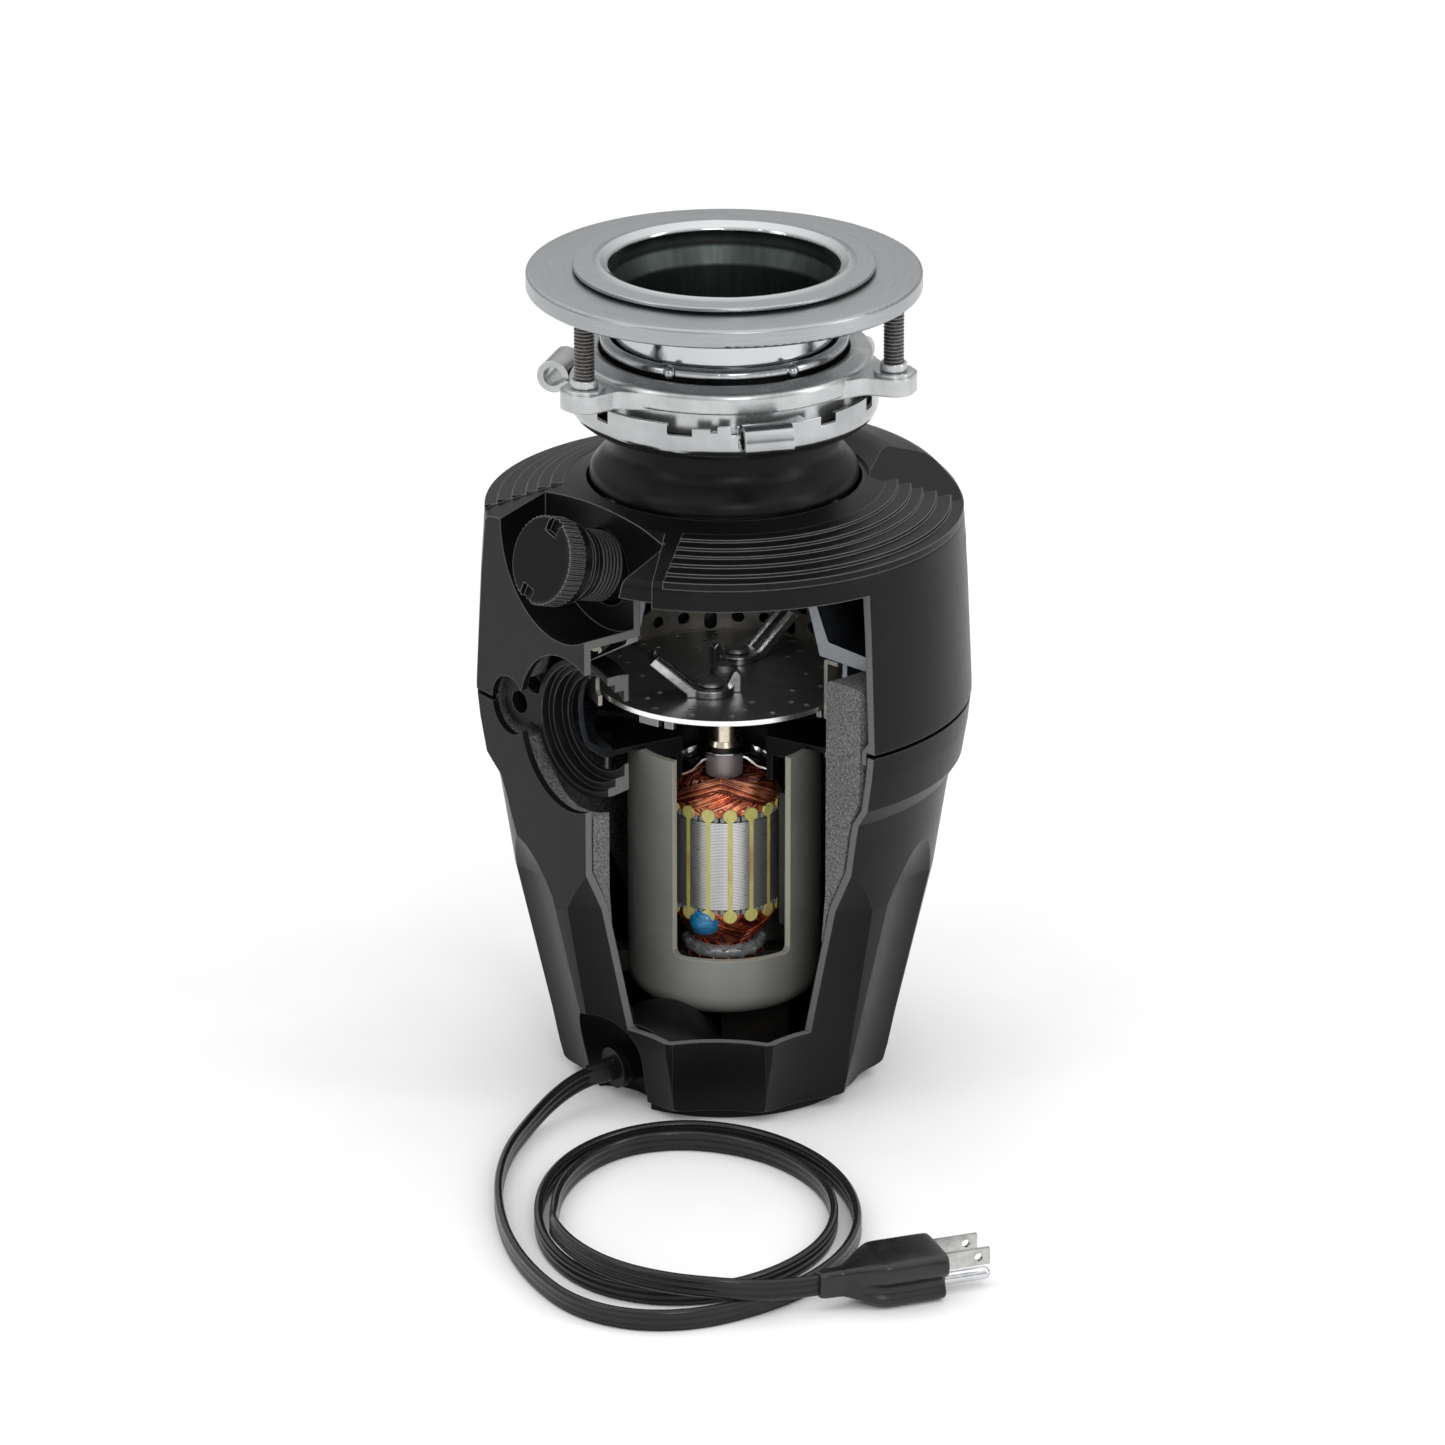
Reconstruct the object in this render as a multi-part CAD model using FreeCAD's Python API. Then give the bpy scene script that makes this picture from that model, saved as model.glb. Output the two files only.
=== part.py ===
import FreeCAD, Part
import math
import os

os.makedirs("parts", exist_ok=True)

# A continuous-feed kitchen garbage disposal, cut open at the front to show its grinder and motor.
# Millimetres.  +Z is up and the origin is the middle of the base, on the surface it stands on.
# An azimuth of 0 degrees points to the front (-Y), and 90 degrees points to the right (+X).

# ---------------------------------------------------------------- driving dimensions
FLANGE_R = 57.15           # sink flange outside radius: the standard 4 1/2 inch flange
MOUTH_R = 43.4             # sink flange, inside just below its lip
BORE_R = 41.0              # sink flange tube, inside
FLANGE_SHEET = 1.2
FLANGE_TOP = 328.2
SUPPORT_R = 74.7           # support ring under the sink
SUPPORT_BOTTOM = 317.4
EAR_CIRCLE_R = 67.6        # circle through the three mounting screws
EAR_AZIMUTHS = (-50.3, 69.7, 189.7)
STUD_R = 3.9
STUD_PITCH = 1.41
LOCK_R = 58.5              # lock ring rim, outside
LOCK_BOTTOM = 266.6
LOCK_TOP = 281.8
ROLL_CENTRE_R = 64.9       # rolled ears on the lock ring
ROLL_AZIMUTHS = (14.0, 134.0, 254.0)
SHELL_TOP = 243.0          # upper housing, at its neck opening
SEAM_TOP = 158.2
SEAM_BOTTOM = 156.4
BASE_Z = 4.5               # underside of the lower housing
WALL = 3.0
FOOT_R = 54.0
FLUTES = 11
FLUTE_AZIMUTH = -1.7       # middle of the front flute
WINDOW_TOP = 221.0         # top of the cut window in the upper housing
WINDOW_BOTTOM = 36.0       # bottom of the cut window in the lower housing
RECESS_DEPTH = 5.5         # hollow beside the dishwasher inlet
PANEL_AZIMUTH = -54.6      # flat panel round the waste outlet
PANEL_DISTANCE = 80.0
INLET_AZIMUTH = -52.0      # dishwasher inlet
INLET_TILT = 17.0
INLET_FACE_R = 87.6        # middle of the cap's face, from the axis
INLET_FACE_Z = 228.0
SPOUT_R = 13.0
CAP_R = 17.0
CAP_DEPTH = 13.0
PORT_AZIMUTH = -48.0       # waste outlet
PORT_Z = 158.0
PORT_FACE_R = 71.0
PORT_R = 27.5
PORT_EAR_OFFSET = 37.5
TABLE_R = 49.3
TABLE_TOP = 161.5
TABLE_THICK = 2.0
SHREDDER_R = 50.8          # shredder ring, inside
PIVOT_R = 18.9             # impeller pivots, from the axis
SHAFT_R = 4.0
RUNNING = 0.05             # radial clearance of a running fit
CAN_R = 37.3
CAN_BOTTOM = 34.0
CAN_TOP = 138.0
CAN_WALL = 3.0
CAN_WINDOW = (-18.6, 27.6)  # left and right edges of the can's window, seen from the front
CAN_WINDOW_BOTTOM = 58.0
CUP_R = 18.6               # cup that holds the upper bearing
BEARING_BOTTOM = 121.8     # upper bearing
BEARING_TOP = 130.8
HUB_BOTTOM = 134.0         # turntable's hub
BOLT_CIRCLE_R = 46.0       # motor bolts
BOLT_AZIMUTHS = (80.0, 180.0, 280.0)
BRUSH_AZIMUTHS = (90.0, 270.0)
BRUSH_Z = 45.0             # middle of the brushes
BRUSH_HEIGHT = 6.4
COMMUTATOR_R = 12.4
COMMUTATOR_BOTTOM = 41.4
GLAZE_Z = 52.0             # glazed ring round the commutator's top
GLAZE_R = 13.2
CORE_R = 22.0
CORE_BOTTOM = 73.0
CORE_TOP = 109.0
SLOTS = 16
SCREW_CIRCLE_R = 40.0      # screws that hold the base
SCREW_AZIMUTHS = (60.0, 180.0, 300.0)
BUTTON_X = 12.0            # reset button, in the base
BUTTON_Y = 8.0
CORD_R = 3.0               # the cord's stand-in tube; the flat cord is 8.3 by 3.2
PLUG_START = (34.0, -226.0, 10.3)
PLUG_HEADING = 20.0        # degrees from +X towards +Y

# The cord's route, from the gland to the plug: out, two loose loops on the floor, and across them.
CORD_ROUTE = [
    (-43.0, -34.0, 12.5), (-54.0, -41.0, 11.5), (-65.0, -52.0, 8.0), (-75.0, -71.0, 4.2),
    (-82.0, -95.0, 4.2), (-85.0, -122.0, 4.2), (-84.0, -150.0, 4.2), (-79.0, -180.0, 4.2),
    (-69.0, -208.0, 4.2), (-55.0, -231.0, 4.2), (-35.0, -243.0, 4.2), (-12.0, -243.0, 4.2),
    (10.0, -232.0, 4.2), (29.0, -215.0, 4.2), (43.0, -193.0, 4.2), (50.0, -167.0, 4.2),
    (49.0, -140.0, 4.2), (41.0, -114.0, 4.2), (26.0, -92.0, 4.2), (5.0, -77.0, 4.2),
    (-19.0, -73.0, 4.2), (-41.0, -82.0, 4.2), (-57.0, -101.0, 4.2), (-67.0, -126.0, 4.2),
    (-70.0, -153.0, 4.2), (-67.0, -179.0, 4.2), (-57.0, -202.0, 4.2), (-40.0, -217.0, 4.2),
    (-18.0, -223.0, 4.2), (5.0, -217.0, 4.2), (25.0, -200.0, 4.2), (38.0, -177.0, 4.2),
    (42.0, -150.0, 4.2), (37.0, -124.0, 4.2), (23.0, -101.0, 4.2), (4.0, -87.0, 4.2),
    (-18.0, -83.0, 4.2), (-38.0, -91.0, 4.2), (-52.0, -109.0, 4.2), (-59.0, -132.0, 4.2),
    (-60.0, -156.0, 4.2), (-56.0, -176.0, 7.0), (-46.0, -194.0, 12.2), (-31.0, -210.0, 13.6),
    (-14.0, -224.0, 13.8), (4.0, -232.0, 13.4), (19.0, -231.5, 10.3), PLUG_START,
]


# ---------------------------------------------------------------- geometry helpers
def vec(x, y, z):
    return FreeCAD.Vector(x, y, z)


UP = vec(0, 0, 1)
ORIGIN = vec(0, 0, 0)


def outward(azimuth):
    """Unit vector that points away from the axis at this azimuth."""
    angle = math.radians(azimuth)
    return vec(math.sin(angle), -math.cos(angle), 0)


def polar(radius, azimuth, z):
    return outward(azimuth) * radius + UP * z


def turned(shape, azimuth, centre=ORIGIN):
    """Copy of a shape that was built facing the front, turned to an azimuth."""
    copy = shape.copy()
    copy.rotate(centre, UP, azimuth)
    return copy


def around(shape, azimuths):
    return Part.makeCompound([turned(shape, azimuth) for azimuth in azimuths])


def fuse_all(shapes):
    result = shapes[0]
    if len(shapes) > 1:
        result = result.fuse(list(shapes[1:]))
    return result.removeSplitter()


def arc_between(before, corner, after, radius):
    """Tangent arc that rounds one corner, with its start and end points."""
    inward = (before - corner).normalize()
    onward = (after - corner).normalize()
    half = math.acos(max(-1.0, min(1.0, inward.dot(onward)))) / 2
    reach = radius / math.tan(half)
    start = corner + inward * reach
    end = corner + onward * reach
    bisector = (inward + onward).normalize()
    middle = corner + bisector * (radius / math.sin(half) - radius)
    return Part.Arc(start, middle, end).toShape(), start, end


def closed_wire(points):
    """Closed wire through (x, y, z) corners; a fourth number rounds that corner."""
    corners = [vec(*point[:3]) for point in points]
    radii = [point[3] if len(point) > 3 else 0 for point in points]
    count = len(corners)
    pieces = []
    for index in range(count):
        if radii[index]:
            pieces.append(arc_between(corners[index - 1], corners[index],
                                      corners[(index + 1) % count], radii[index]))
        else:
            pieces.append((None, corners[index], corners[index]))
    edges = []
    for index in range(count):
        arc, _, end = pieces[index]
        if arc:
            edges.append(arc)
        following = pieces[(index + 1) % count][1]
        if end.distanceToPoint(following) > 1e-6:
            edges.append(Part.LineSegment(end, following).toShape())
    return Part.Wire(edges)


def section(profile):
    """Face in the XZ half-plane from (radius, z) corners; a third number rounds that corner."""
    return Part.Face(closed_wire([(point[0], 0, point[1]) + tuple(point[2:]) for point in profile]))


def lathe(profile, start=None, end=None):
    """Turned solid about Z, whole or between two azimuths."""
    face = section(profile)
    if start is None:
        return face.revolve(ORIGIN, UP, 360)
    face.rotate(ORIGIN, UP, start - 90)
    return face.revolve(ORIGIN, UP, end - start)


def tube(outer, inner, low, high, start=None, end=None):
    return lathe([(inner, low), (outer, low), (outer, high), (inner, high)], start, end)


def disc(radius, low, high):
    return Part.makeCylinder(radius, high - low, vec(0, 0, low))


def block(x_low, x_high, y_low, y_high, z_low, z_high):
    return Part.makeBox(x_high - x_low, y_high - y_low, z_high - z_low, vec(x_low, y_low, z_low))


def prism(corners, low, high):
    """Upright prism from (x, y) corners; a third number rounds that corner."""
    wire = closed_wire([(corner[0], corner[1], low) + tuple(corner[2:]) for corner in corners])
    return Part.Face(wire).extrude(UP * (high - low))


def wedge(start, end, low, high, apex=(0, 0), reach=160):
    """Upright wedge between two azimuths, from an apex out past the object."""
    steps = 4
    corners = [apex]
    for index in range(steps + 1):
        direction = outward(start + (end - start) * index / steps)
        corners.append((apex[0] + direction.x * reach, apex[1] + direction.y * reach))
    return prism(corners, low, high)


def rod(start, direction, radius, length):
    return Part.makeCylinder(radius, length, start, direction)


def export(name, shape):
    if not shape.isValid():
        print("INVALID", name)
    box = shape.BoundBox
    print("%-18s solids %2d volume %9.0f  z %6.1f %6.1f" %
          (name, len(shape.Solids), shape.Volume, box.ZMin, box.ZMax))
    shape.exportStep("parts/" + name + ".step")


# ---------------------------------------------------------------- shared cutting shapes
# The display window is cut by two upright planes that meet just in front of the axis.
CUT_APEX = (-1.0, -22.0)
CUT_LEFT = -50.3
CUT_RIGHT = 46.5


def window(low, high):
    return wedge(CUT_LEFT, CUT_RIGHT, low, high, CUT_APEX)


def beyond_panel(distance, low, high):
    """Everything outside the flat panel's plane."""
    return turned(block(-150, 150, -distance - 100, -distance, low, high), PANEL_AZIMUTH)


def inlet_pocket(grow):
    """U-shaped pocket round the dishwasher inlet, open at the top and outside."""
    half = 37.0 + grow
    middle = 231.0
    back = 57.0 - grow
    trough = rod(vec(0, -back, middle), vec(0, -1, 0), half, 80)
    above = block(-half, half, -back - 80, -back, middle, middle + 60)
    return turned(trough.fuse(above), INLET_AZIMUTH)


def side_recess(grow):
    """Shallow hollow in the shoulder between the inlet pocket and the terraces, deepest at the rim."""
    rim = 91.0 - RECESS_DEPTH - grow
    inner = 60.0 - grow
    layer = lathe([(rim, 196), (120, 196), (120, 270), (inner, 270), (inner, shoulder_z(60.0) + 0.3 - grow),
                   (rim, shoulder_z(86.0) - 4.5 - grow, 4.0)], -46, -2)
    side = prism([(-28.0 + grow, -130), (-27.0 + grow, -88), (-22.0 + grow, -57), (-22.0 + grow, -20),
                  (-90, -20), (-90, -130)], 190, 280)
    return layer.common(side)


def port_void(grow):
    """Clearance round the waste outlet's flange and its ear."""
    ring = rod(vec(0, -40, 0), vec(0, -1, 0), PORT_R + 3 + grow, 80)
    ear = rod(vec(-PORT_EAR_OFFSET, -40, 0), vec(0, -1, 0), 11.5 + grow, 80)
    void = turned(ring.fuse(ear), PORT_AZIMUTH)
    void.translate(vec(0, 0, PORT_Z))
    return void


CORD_START = vec(*CORD_ROUTE[0])
CORD_HEADING = (vec(*CORD_ROUTE[1]) - vec(*CORD_ROUTE[0])).normalize()
CORD_ARCH_AZIMUTH = -48.0
CORD_ARCH_CENTRE_R = 62.0
CORD_ARCH_Z = 22.0
CORD_ARCH_R = 18.0


def cord_recess(grow):
    """Arched recess in the base that the cord comes out of."""
    radius = CORD_ARCH_R + grow
    centre = vec(0, -CORD_ARCH_CENTRE_R, CORD_ARCH_Z)
    dome = Part.makeSphere(radius, centre)
    tunnel = rod(centre, vec(0, -1, 0), radius, 40)
    foot = Part.makeCylinder(radius, CORD_ARCH_Z + 10, vec(0, -CORD_ARCH_CENTRE_R, -10))
    below = block(-radius, radius, -CORD_ARCH_CENTRE_R - 40, -CORD_ARCH_CENTRE_R, -10, CORD_ARCH_Z)
    return turned(fuse_all([dome, tunnel, foot, below]), CORD_ARCH_AZIMUTH)


# ---------------------------------------------------------------- sink mount
def sink_flange():
    """Flange with a raised, rolled lip, and a tube that narrows below its mouth."""
    top = FLANGE_TOP
    outside = BORE_R + FLANGE_SHEET
    mouth_outside = MOUTH_R + 0.9
    return lathe([
        (FLANGE_R, top - 1.9, 0.5), (FLANGE_R, top - 0.2, 0.6), (50.0, top, 2.0), (47.2, top + 0.9, 1.2),
        (MOUTH_R, top - 1.0, 2.0), (MOUTH_R, top - 8.0, 4.0), (BORE_R, top - 15.0, 4.0), (BORE_R, 279.0),
        (outside, 279.0), (outside, top - 15.4, 4.0), (mouth_outside, top - 8.4, 3.0),
        (mouth_outside, top - 2.4, 0.5), (47.4, top - 1.7, 1.0)])


def flange_gasket():
    return tube(55.5, 48.4, FLANGE_TOP - 2.8, FLANGE_TOP - 1.95)


def support_ring():
    top = FLANGE_TOP - 2.85
    return lathe([
        (44.6, SUPPORT_BOTTOM + 0.6), (71.5, SUPPORT_BOTTOM, 1.0), (SUPPORT_R, SUPPORT_BOTTOM + 0.6, 1.4),
        (SUPPORT_R, 324.9, 1.3), (71.0, 325.1, 1.0), (60.0, top), (44.6, top)])


def snap_ring():
    """Spring ring in the flange's groove, with two pressed bumps at the front."""
    ring = lathe([(43.3, 296.0, 0.8), (46.9, 295.6, 1.4), (46.9, 299.2, 1.6), (43.3, 300.2, 0.8)])
    bumps = []
    for azimuth in (-26.0, 33.0):
        bumps.append(Part.makeSphere(2.6, polar(46.2, azimuth, 297.6)))
    return fuse_all([ring] + bumps)


def mounting_ring():
    """Cast ring with three screw ears, and three inclined ramps below for the lock ring."""
    body = lathe([(47.6, 286.0), (56.2, 285.6, 1.0), (56.6, 293.4, 2.6), (50.0, 295.2, 1.5), (47.6, 294.6)])
    skirt = tube(52.6, 47.6, 276.5, 287.0)
    ears = []
    for azimuth in EAR_AZIMUTHS:
        pad = prism([(-22, -49), (-9.5, -60, 4), (-8.6, -76.0, 7.5),
                     (8.6, -76.0, 7.5), (9.5, -60, 4), (22, -49)], 284.8, 291.6)
        boss = disc(7.6, 290.0, 292.8)
        boss.translate(vec(0, -EAR_CIRCLE_R, 0))
        ears.append(turned(pad.fuse(boss), azimuth))
    shape = fuse_all([body, skirt] + ears)
    core = disc(47.6, 270, 300)
    shape = shape.cut(core)
    for azimuth in EAR_AZIMUTHS:
        hole = disc(STUD_R + 0.1, 280, 300)
        hole.translate(polar(EAR_CIRCLE_R, azimuth, 0))
        shape = shape.cut(hole)
    ramps = []
    for azimuth in EAR_AZIMUTHS:
        ramp = tube(54.8, 52.0, 277.4, 279.2, azimuth + 38, azimuth + 84)
        middle = polar(53.5, azimuth + 61, 278.3)
        ramp.rotate(middle, outward(azimuth + 61), 5.0)
        ramps.append(ramp)
    return fuse_all([shape] + ramps)


def stud(low, high):
    """Threaded stud: a core with a ridge for each turn of thread."""
    core = STUD_R - 0.75
    ridge = STUD_PITCH / 2
    profile = [(0, low), (core, low)]
    count = int((high - low - 0.6) / STUD_PITCH)
    for index in range(count):
        z = low + 0.3 + index * STUD_PITCH
        profile += [(core, z), (STUD_R, z + ridge * 0.8)]
        profile += [(STUD_R, z + ridge * 1.2), (core, z + ridge * 2 - 0.02)]
    profile += [(core, high), (0, high)]
    return lathe(profile)


def mounting_screws():
    shank = stud(283.2, SUPPORT_BOTTOM - 0.05)
    shank.translate(vec(0, -EAR_CIRCLE_R, 0))
    return around(shank, EAR_AZIMUTHS)


def screw_collars():
    collar = lathe([(STUD_R + 0.1, 292.9), (5.2, 292.9, 0.4), (5.0, 295.9, 0.5), (STUD_R + 0.1, 296.1)])
    collar.translate(vec(0, -EAR_CIRCLE_R, 0))
    return around(collar, EAR_AZIMUTHS)


def lock_ring():
    """Stamped ring with an upright notched rim and three rolled ears for a wrench."""
    sheet = 1.8
    ring = lathe([
        (45.6, LOCK_BOTTOM, 0.6), (53.0, LOCK_BOTTOM, 6.0), (LOCK_R, LOCK_BOTTOM + 4.5, 6.0),
        (LOCK_R, LOCK_TOP), (LOCK_R - sheet, LOCK_TOP), (LOCK_R - sheet, LOCK_BOTTOM + 5.2, 4.5),
        (52.2, LOCK_BOTTOM + sheet, 4.5), (45.6, LOCK_BOTTOM + sheet)])
    cuts = []
    for sector in (0, 120, 240):
        for start, end, depth in ((-54.5, -48.0, 5.2), (-21.5, -11.8, 4.2), (-5.2, -2.4, 2.4),
                                  (2.6, 4.9, 3.4), (38.0, 45.5, 3.6)):
            cuts.append(tube(62, 54, LOCK_TOP - depth, LOCK_TOP + 1, sector + start, sector + end))
        cuts.append(tube(62, 54, LOCK_TOP - 1.0, LOCK_TOP + 1, sector - 11.9, sector - 5.1))
    ring = ring.cut(cuts)
    rolls = []
    for azimuth in ROLL_AZIMUTHS:
        outer = Part.makeCylinder(6.25, 18.5, vec(-9.25, 0, 0), vec(1, 0, 0))
        inner = Part.makeCylinder(3.75, 20, vec(-10, 0, 0), vec(1, 0, 0))
        slit = block(-10, 10, 1.0, 8.0, -2.2, 0.0)
        roll = outer.cut(inner).cut(slit)
        roll.translate(vec(0, -ROLL_CENTRE_R, 278.9))
        strap = block(-9.25, 9.25, -60.6, -57.0, 274.0, 277.5)
        rolls.append(turned(roll.fuse(strap), azimuth))
    return fuse_all([ring] + rolls)


def neck_gasket():
    """Rubber cushion between the mount and the housing: a bead, a waist and a rolled skirt."""
    return lathe([
        (39.0, 241.6), (47.5, 241.6, 2.0), (51.6, 242.0, 3.0), (50.8, 248.0, 6.0), (43.7, 256.0, 8.0),
        (43.7, 268.9), (52.0, 268.9, 1.5), (52.0, 275.6, 1.5), (39.0, 275.6)])


# ---------------------------------------------------------------- housing
UPPER_WALL = [(94.7, SEAM_TOP), (94.7, 161.0), (93.5, 187.0), (92.6, 206.0), (91.0, 230.6)]
LOWER_WALL = [(94.4, SEAM_BOTTOM), (93.5, 147.5), (91.4, 134.4), (87.1, 127.7), (85.8, 121.0), (83.8, 108.0),
              (80.8, 88.0), (76.3, 68.0), (71.7, 47.5), (67.1, 27.0), (62.3, BASE_Z)]
TERRACES = (61.0, 65.7, 70.7, 75.1, 80.4, 86.0, 91.0)
SHOULDER_SLOPE = 0.326


def shoulder_z(radius, drop=0.0):
    """Height of the smooth shoulder cone."""
    return SHELL_TOP - (radius - 53.0) * SHOULDER_SLOPE - drop


def upper_solid(inset):
    """Upper housing filled in, pulled in by a wall thickness when inset is set."""
    wall = [(radius - inset, z) for radius, z in UPPER_WALL]
    wall[0] = (wall[0][0], SEAM_TOP - (1 if inset else 0))
    wall[-1] = (wall[-1][0], shoulder_z(91.0) - inset, 4.0)
    profile = [(0, wall[0][1])] + wall + [(53.0, SHELL_TOP - inset), (0, SHELL_TOP - inset)]
    shape = lathe(profile)
    shape = shape.cut(beyond_panel(PANEL_DISTANCE - inset, 150, 260))
    return shape.cut([inlet_pocket(inset), side_recess(inset)])


def terrace_steps(start, end):
    """Concentric raised steps on the shoulder, between two azimuths."""
    profile = [(TERRACES[0], shoulder_z(TERRACES[0], 1.5)), (TERRACES[0], shoulder_z(TERRACES[0]) + 0.2)]
    for inner, outer in zip(TERRACES, TERRACES[1:]):
        top = shoulder_z(inner) + 0.2
        profile += [(inner + 0.25, top), (outer, top - 0.5)]
    profile += [(TERRACES[-1], shoulder_z(TERRACES[-1], 1.5))]
    return lathe(profile, start, end)


def raised_lobe():
    """Smooth raised part of the shoulder at the right rear, ramped down at both ends."""
    lobe = lathe([(55.0, 236.0), (55.0, 243.4), (64.0, 247.4, 12.0), (82.0, 242.6, 12.0), (90.4, 234.0, 6.0),
                  (92.0, 218.0), (88.0, 218.0)], 84, 190)
    apex_z = shoulder_z(0.0)
    for azimuth, tilt in ((86.0, -15.0), (188.0, 15.0)):
        above = block(-150, 150, -150, 40, 0, 90)
        above.rotate(ORIGIN, vec(1, 0, 0), math.degrees(math.atan(SHOULDER_SLOPE)))
        above.rotate(ORIGIN, vec(0, 1, 0), tilt)
        above.translate(vec(0, 0, apex_z))
        lobe = lobe.cut(turned(above, azimuth))
    return lobe


def upper_housing():
    outer = fuse_all([upper_solid(0), terrace_steps(-14.5, 112), terrace_steps(-160, -88), raised_lobe()])
    shell = outer.cut(upper_solid(WALL))
    shell = shell.cut(disc(52.4, 230, 260))
    tongue = lathe([(88.4, 153.0), (90.6, 153.0), (90.6, SEAM_TOP),
                    (92.6, SEAM_TOP), (92.6, SEAM_TOP + 5), (88.4, SEAM_TOP)])
    tongue = tongue.cut(beyond_panel(76.0, 140, 200))
    shell = shell.fuse(tongue)
    shell = shell.cut([port_void(0), window(140, WINDOW_TOP), inlet_bore(SPOUT_R + 1.5)])
    return shell.removeSplitter()


def flute_cutters(grow):
    """Scoops that cut the flutes: two tilted cylinders each, so that the flute runs out at its top."""
    radius = 53.0
    cutters = []
    for index in range(FLUTES):
        scoop = None
        for foot, slope in ((56.9, 0.2216), (40.3, 0.45)):
            direction = vec(0, -slope, 1.0)
            start = vec(0, -foot - radius, 0) - direction * 20
            cylinder = rod(start, direction, radius + grow, 160)
            scoop = scoop.common(cylinder) if scoop else cylinder
        cutters.append(turned(scoop, FLUTE_AZIMUTH + index * 360.0 / FLUTES))
    return cutters


def lower_solid(inset):
    wall = [(radius - inset, z) for radius, z in LOWER_WALL]
    bottom = BASE_Z + inset
    wall[0] = (wall[0][0], SEAM_BOTTOM + (1 if inset else 0))
    wall[-1] = (62.7 - inset, bottom, 4.0)
    shape = lathe([(0, wall[0][1])] + wall + [(0, bottom)])
    shape = shape.cut(flute_cutters(inset))
    shape = shape.cut(beyond_panel(PANEL_DISTANCE - inset, 0, 160))
    return shape.cut(cord_recess(inset))


def lower_housing():
    shell = lower_solid(0).cut(lower_solid(WALL))
    gland_hole = rod(CORD_START - CORD_HEADING * 30, CORD_HEADING, 7.0, 29)
    shell = shell.cut([port_void(0), window(WINDOW_BOTTOM, 160), disc(33.4, 0, 10), gland_hole])
    shell = shell.cut([polar_hole(SCREW_CIRCLE_R, azimuth, 1.65, 0, 10) for azimuth in SCREW_AZIMUTHS])
    return shell.removeSplitter()


def base_cover():
    """Round base that the disposal stands on, with the reset button's hole and screw pockets."""
    cover = lathe([(0, 0), (FOOT_R, 0, 1.2), (FOOT_R, BASE_Z - 0.05),
                   (33.0, BASE_Z - 0.05), (33.0, BASE_Z + 1.2), (0, BASE_Z + 1.2)])
    hole = Part.makeCylinder(5.0 + RUNNING, 20, vec(BUTTON_X, BUTTON_Y, -5.0))
    pockets = [polar_hole(SCREW_CIRCLE_R, azimuth, 4.0, -1.0, 2.2) for azimuth in SCREW_AZIMUTHS]
    shanks = [polar_hole(SCREW_CIRCLE_R, azimuth, 1.7, 0.0, 6.0) for azimuth in SCREW_AZIMUTHS]
    return cover.cut([hole, cord_recess(0.5)] + pockets + shanks).removeSplitter()


def base_screws():
    screw = lathe([(0, 0.4), (3.4, 0.9, 0.6), (3.4, 2.15),
                   (1.65, 2.15), (1.65, BASE_Z + 2.5), (0, BASE_Z + 2.5)])
    screw.translate(vec(0, -SCREW_CIRCLE_R, 0))
    return around(screw, SCREW_AZIMUTHS)


def foam_jacket(start, end):
    """Sound-absorbing foam between the motor and the shells."""
    profile = [(65.6, 44.0), (66.8, 44.0), (72.2, 68.0), (76.8, 88.0), (79.6, 108.0), (81.6, 121.0),
               (83.0, 128.0), (86.6, 136.0), (87.4, 148.0), (87.6, 182.4, 3.0), (70.6, 182.4, 3.0),
               (70.6, 95.0)]
    foam = lathe(profile, start, end)
    gap = WALL + 0.6
    foam = foam.cut(flute_cutters(gap))
    foam = foam.cut([beyond_panel(PANEL_DISTANCE - gap - 0.2, 0, 260), port_void(2.5), cord_recess(gap)])
    return foam.cut(window(0, 260))


# ---------------------------------------------------------------- waste path
INLET_AXIS = (outward(INLET_AZIMUTH) * math.cos(math.radians(INLET_TILT))
              + UP * math.sin(math.radians(INLET_TILT)))
INLET_FACE = polar(INLET_FACE_R, INLET_AZIMUTH, INLET_FACE_Z)


def inlet_bore(radius):
    return rod(INLET_FACE - INLET_AXIS * 60, INLET_AXIS, radius, 70)


def hopper():
    """Grinding chamber: a throat, a widening cone and a wide bottom flange."""
    shape = lathe([
        (36.0, 276.8), (38.7, 276.8), (38.7, 241.3, 3.0), (47.8, 234.0, 6.0), (49.5, 202.0),
        (55.4, 189.6, 2.0), (87.6, 188.2, 1.5), (87.6, 183.0, 0.6), (51.0, 183.0),
        (44.6, 202.0), (43.6, 231.0, 6.0), (36.0, 239.0, 4.0)])
    shape = shape.cut([beyond_panel(75.5, 150, 200), inlet_pocket(WALL + 0.6).common(disc(100, 180, 200))])
    shape = shape.cut([wedge(-42, 45, 150, WINDOW_TOP), port_void(1.0), inlet_bore(SPOUT_R)])
    return shape.removeSplitter()


def dishwasher_inlet():
    """Spout that takes the dishwasher's hose."""
    length = 48.0
    start = INLET_FACE - INLET_AXIS * (length + 3.2)
    spout = rod(start, INLET_AXIS, SPOUT_R, length)
    bore = rod(start - INLET_AXIS, INLET_AXIS, SPOUT_R - 2.6, length + 2)
    rib = rod(INLET_FACE - INLET_AXIS * 17.5, INLET_AXIS, SPOUT_R + 1.2, 2.0)
    spout = spout.fuse(rib).cut(bore)
    return spout.cut(disc(44.2, 150, 260)).removeSplitter()


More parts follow.
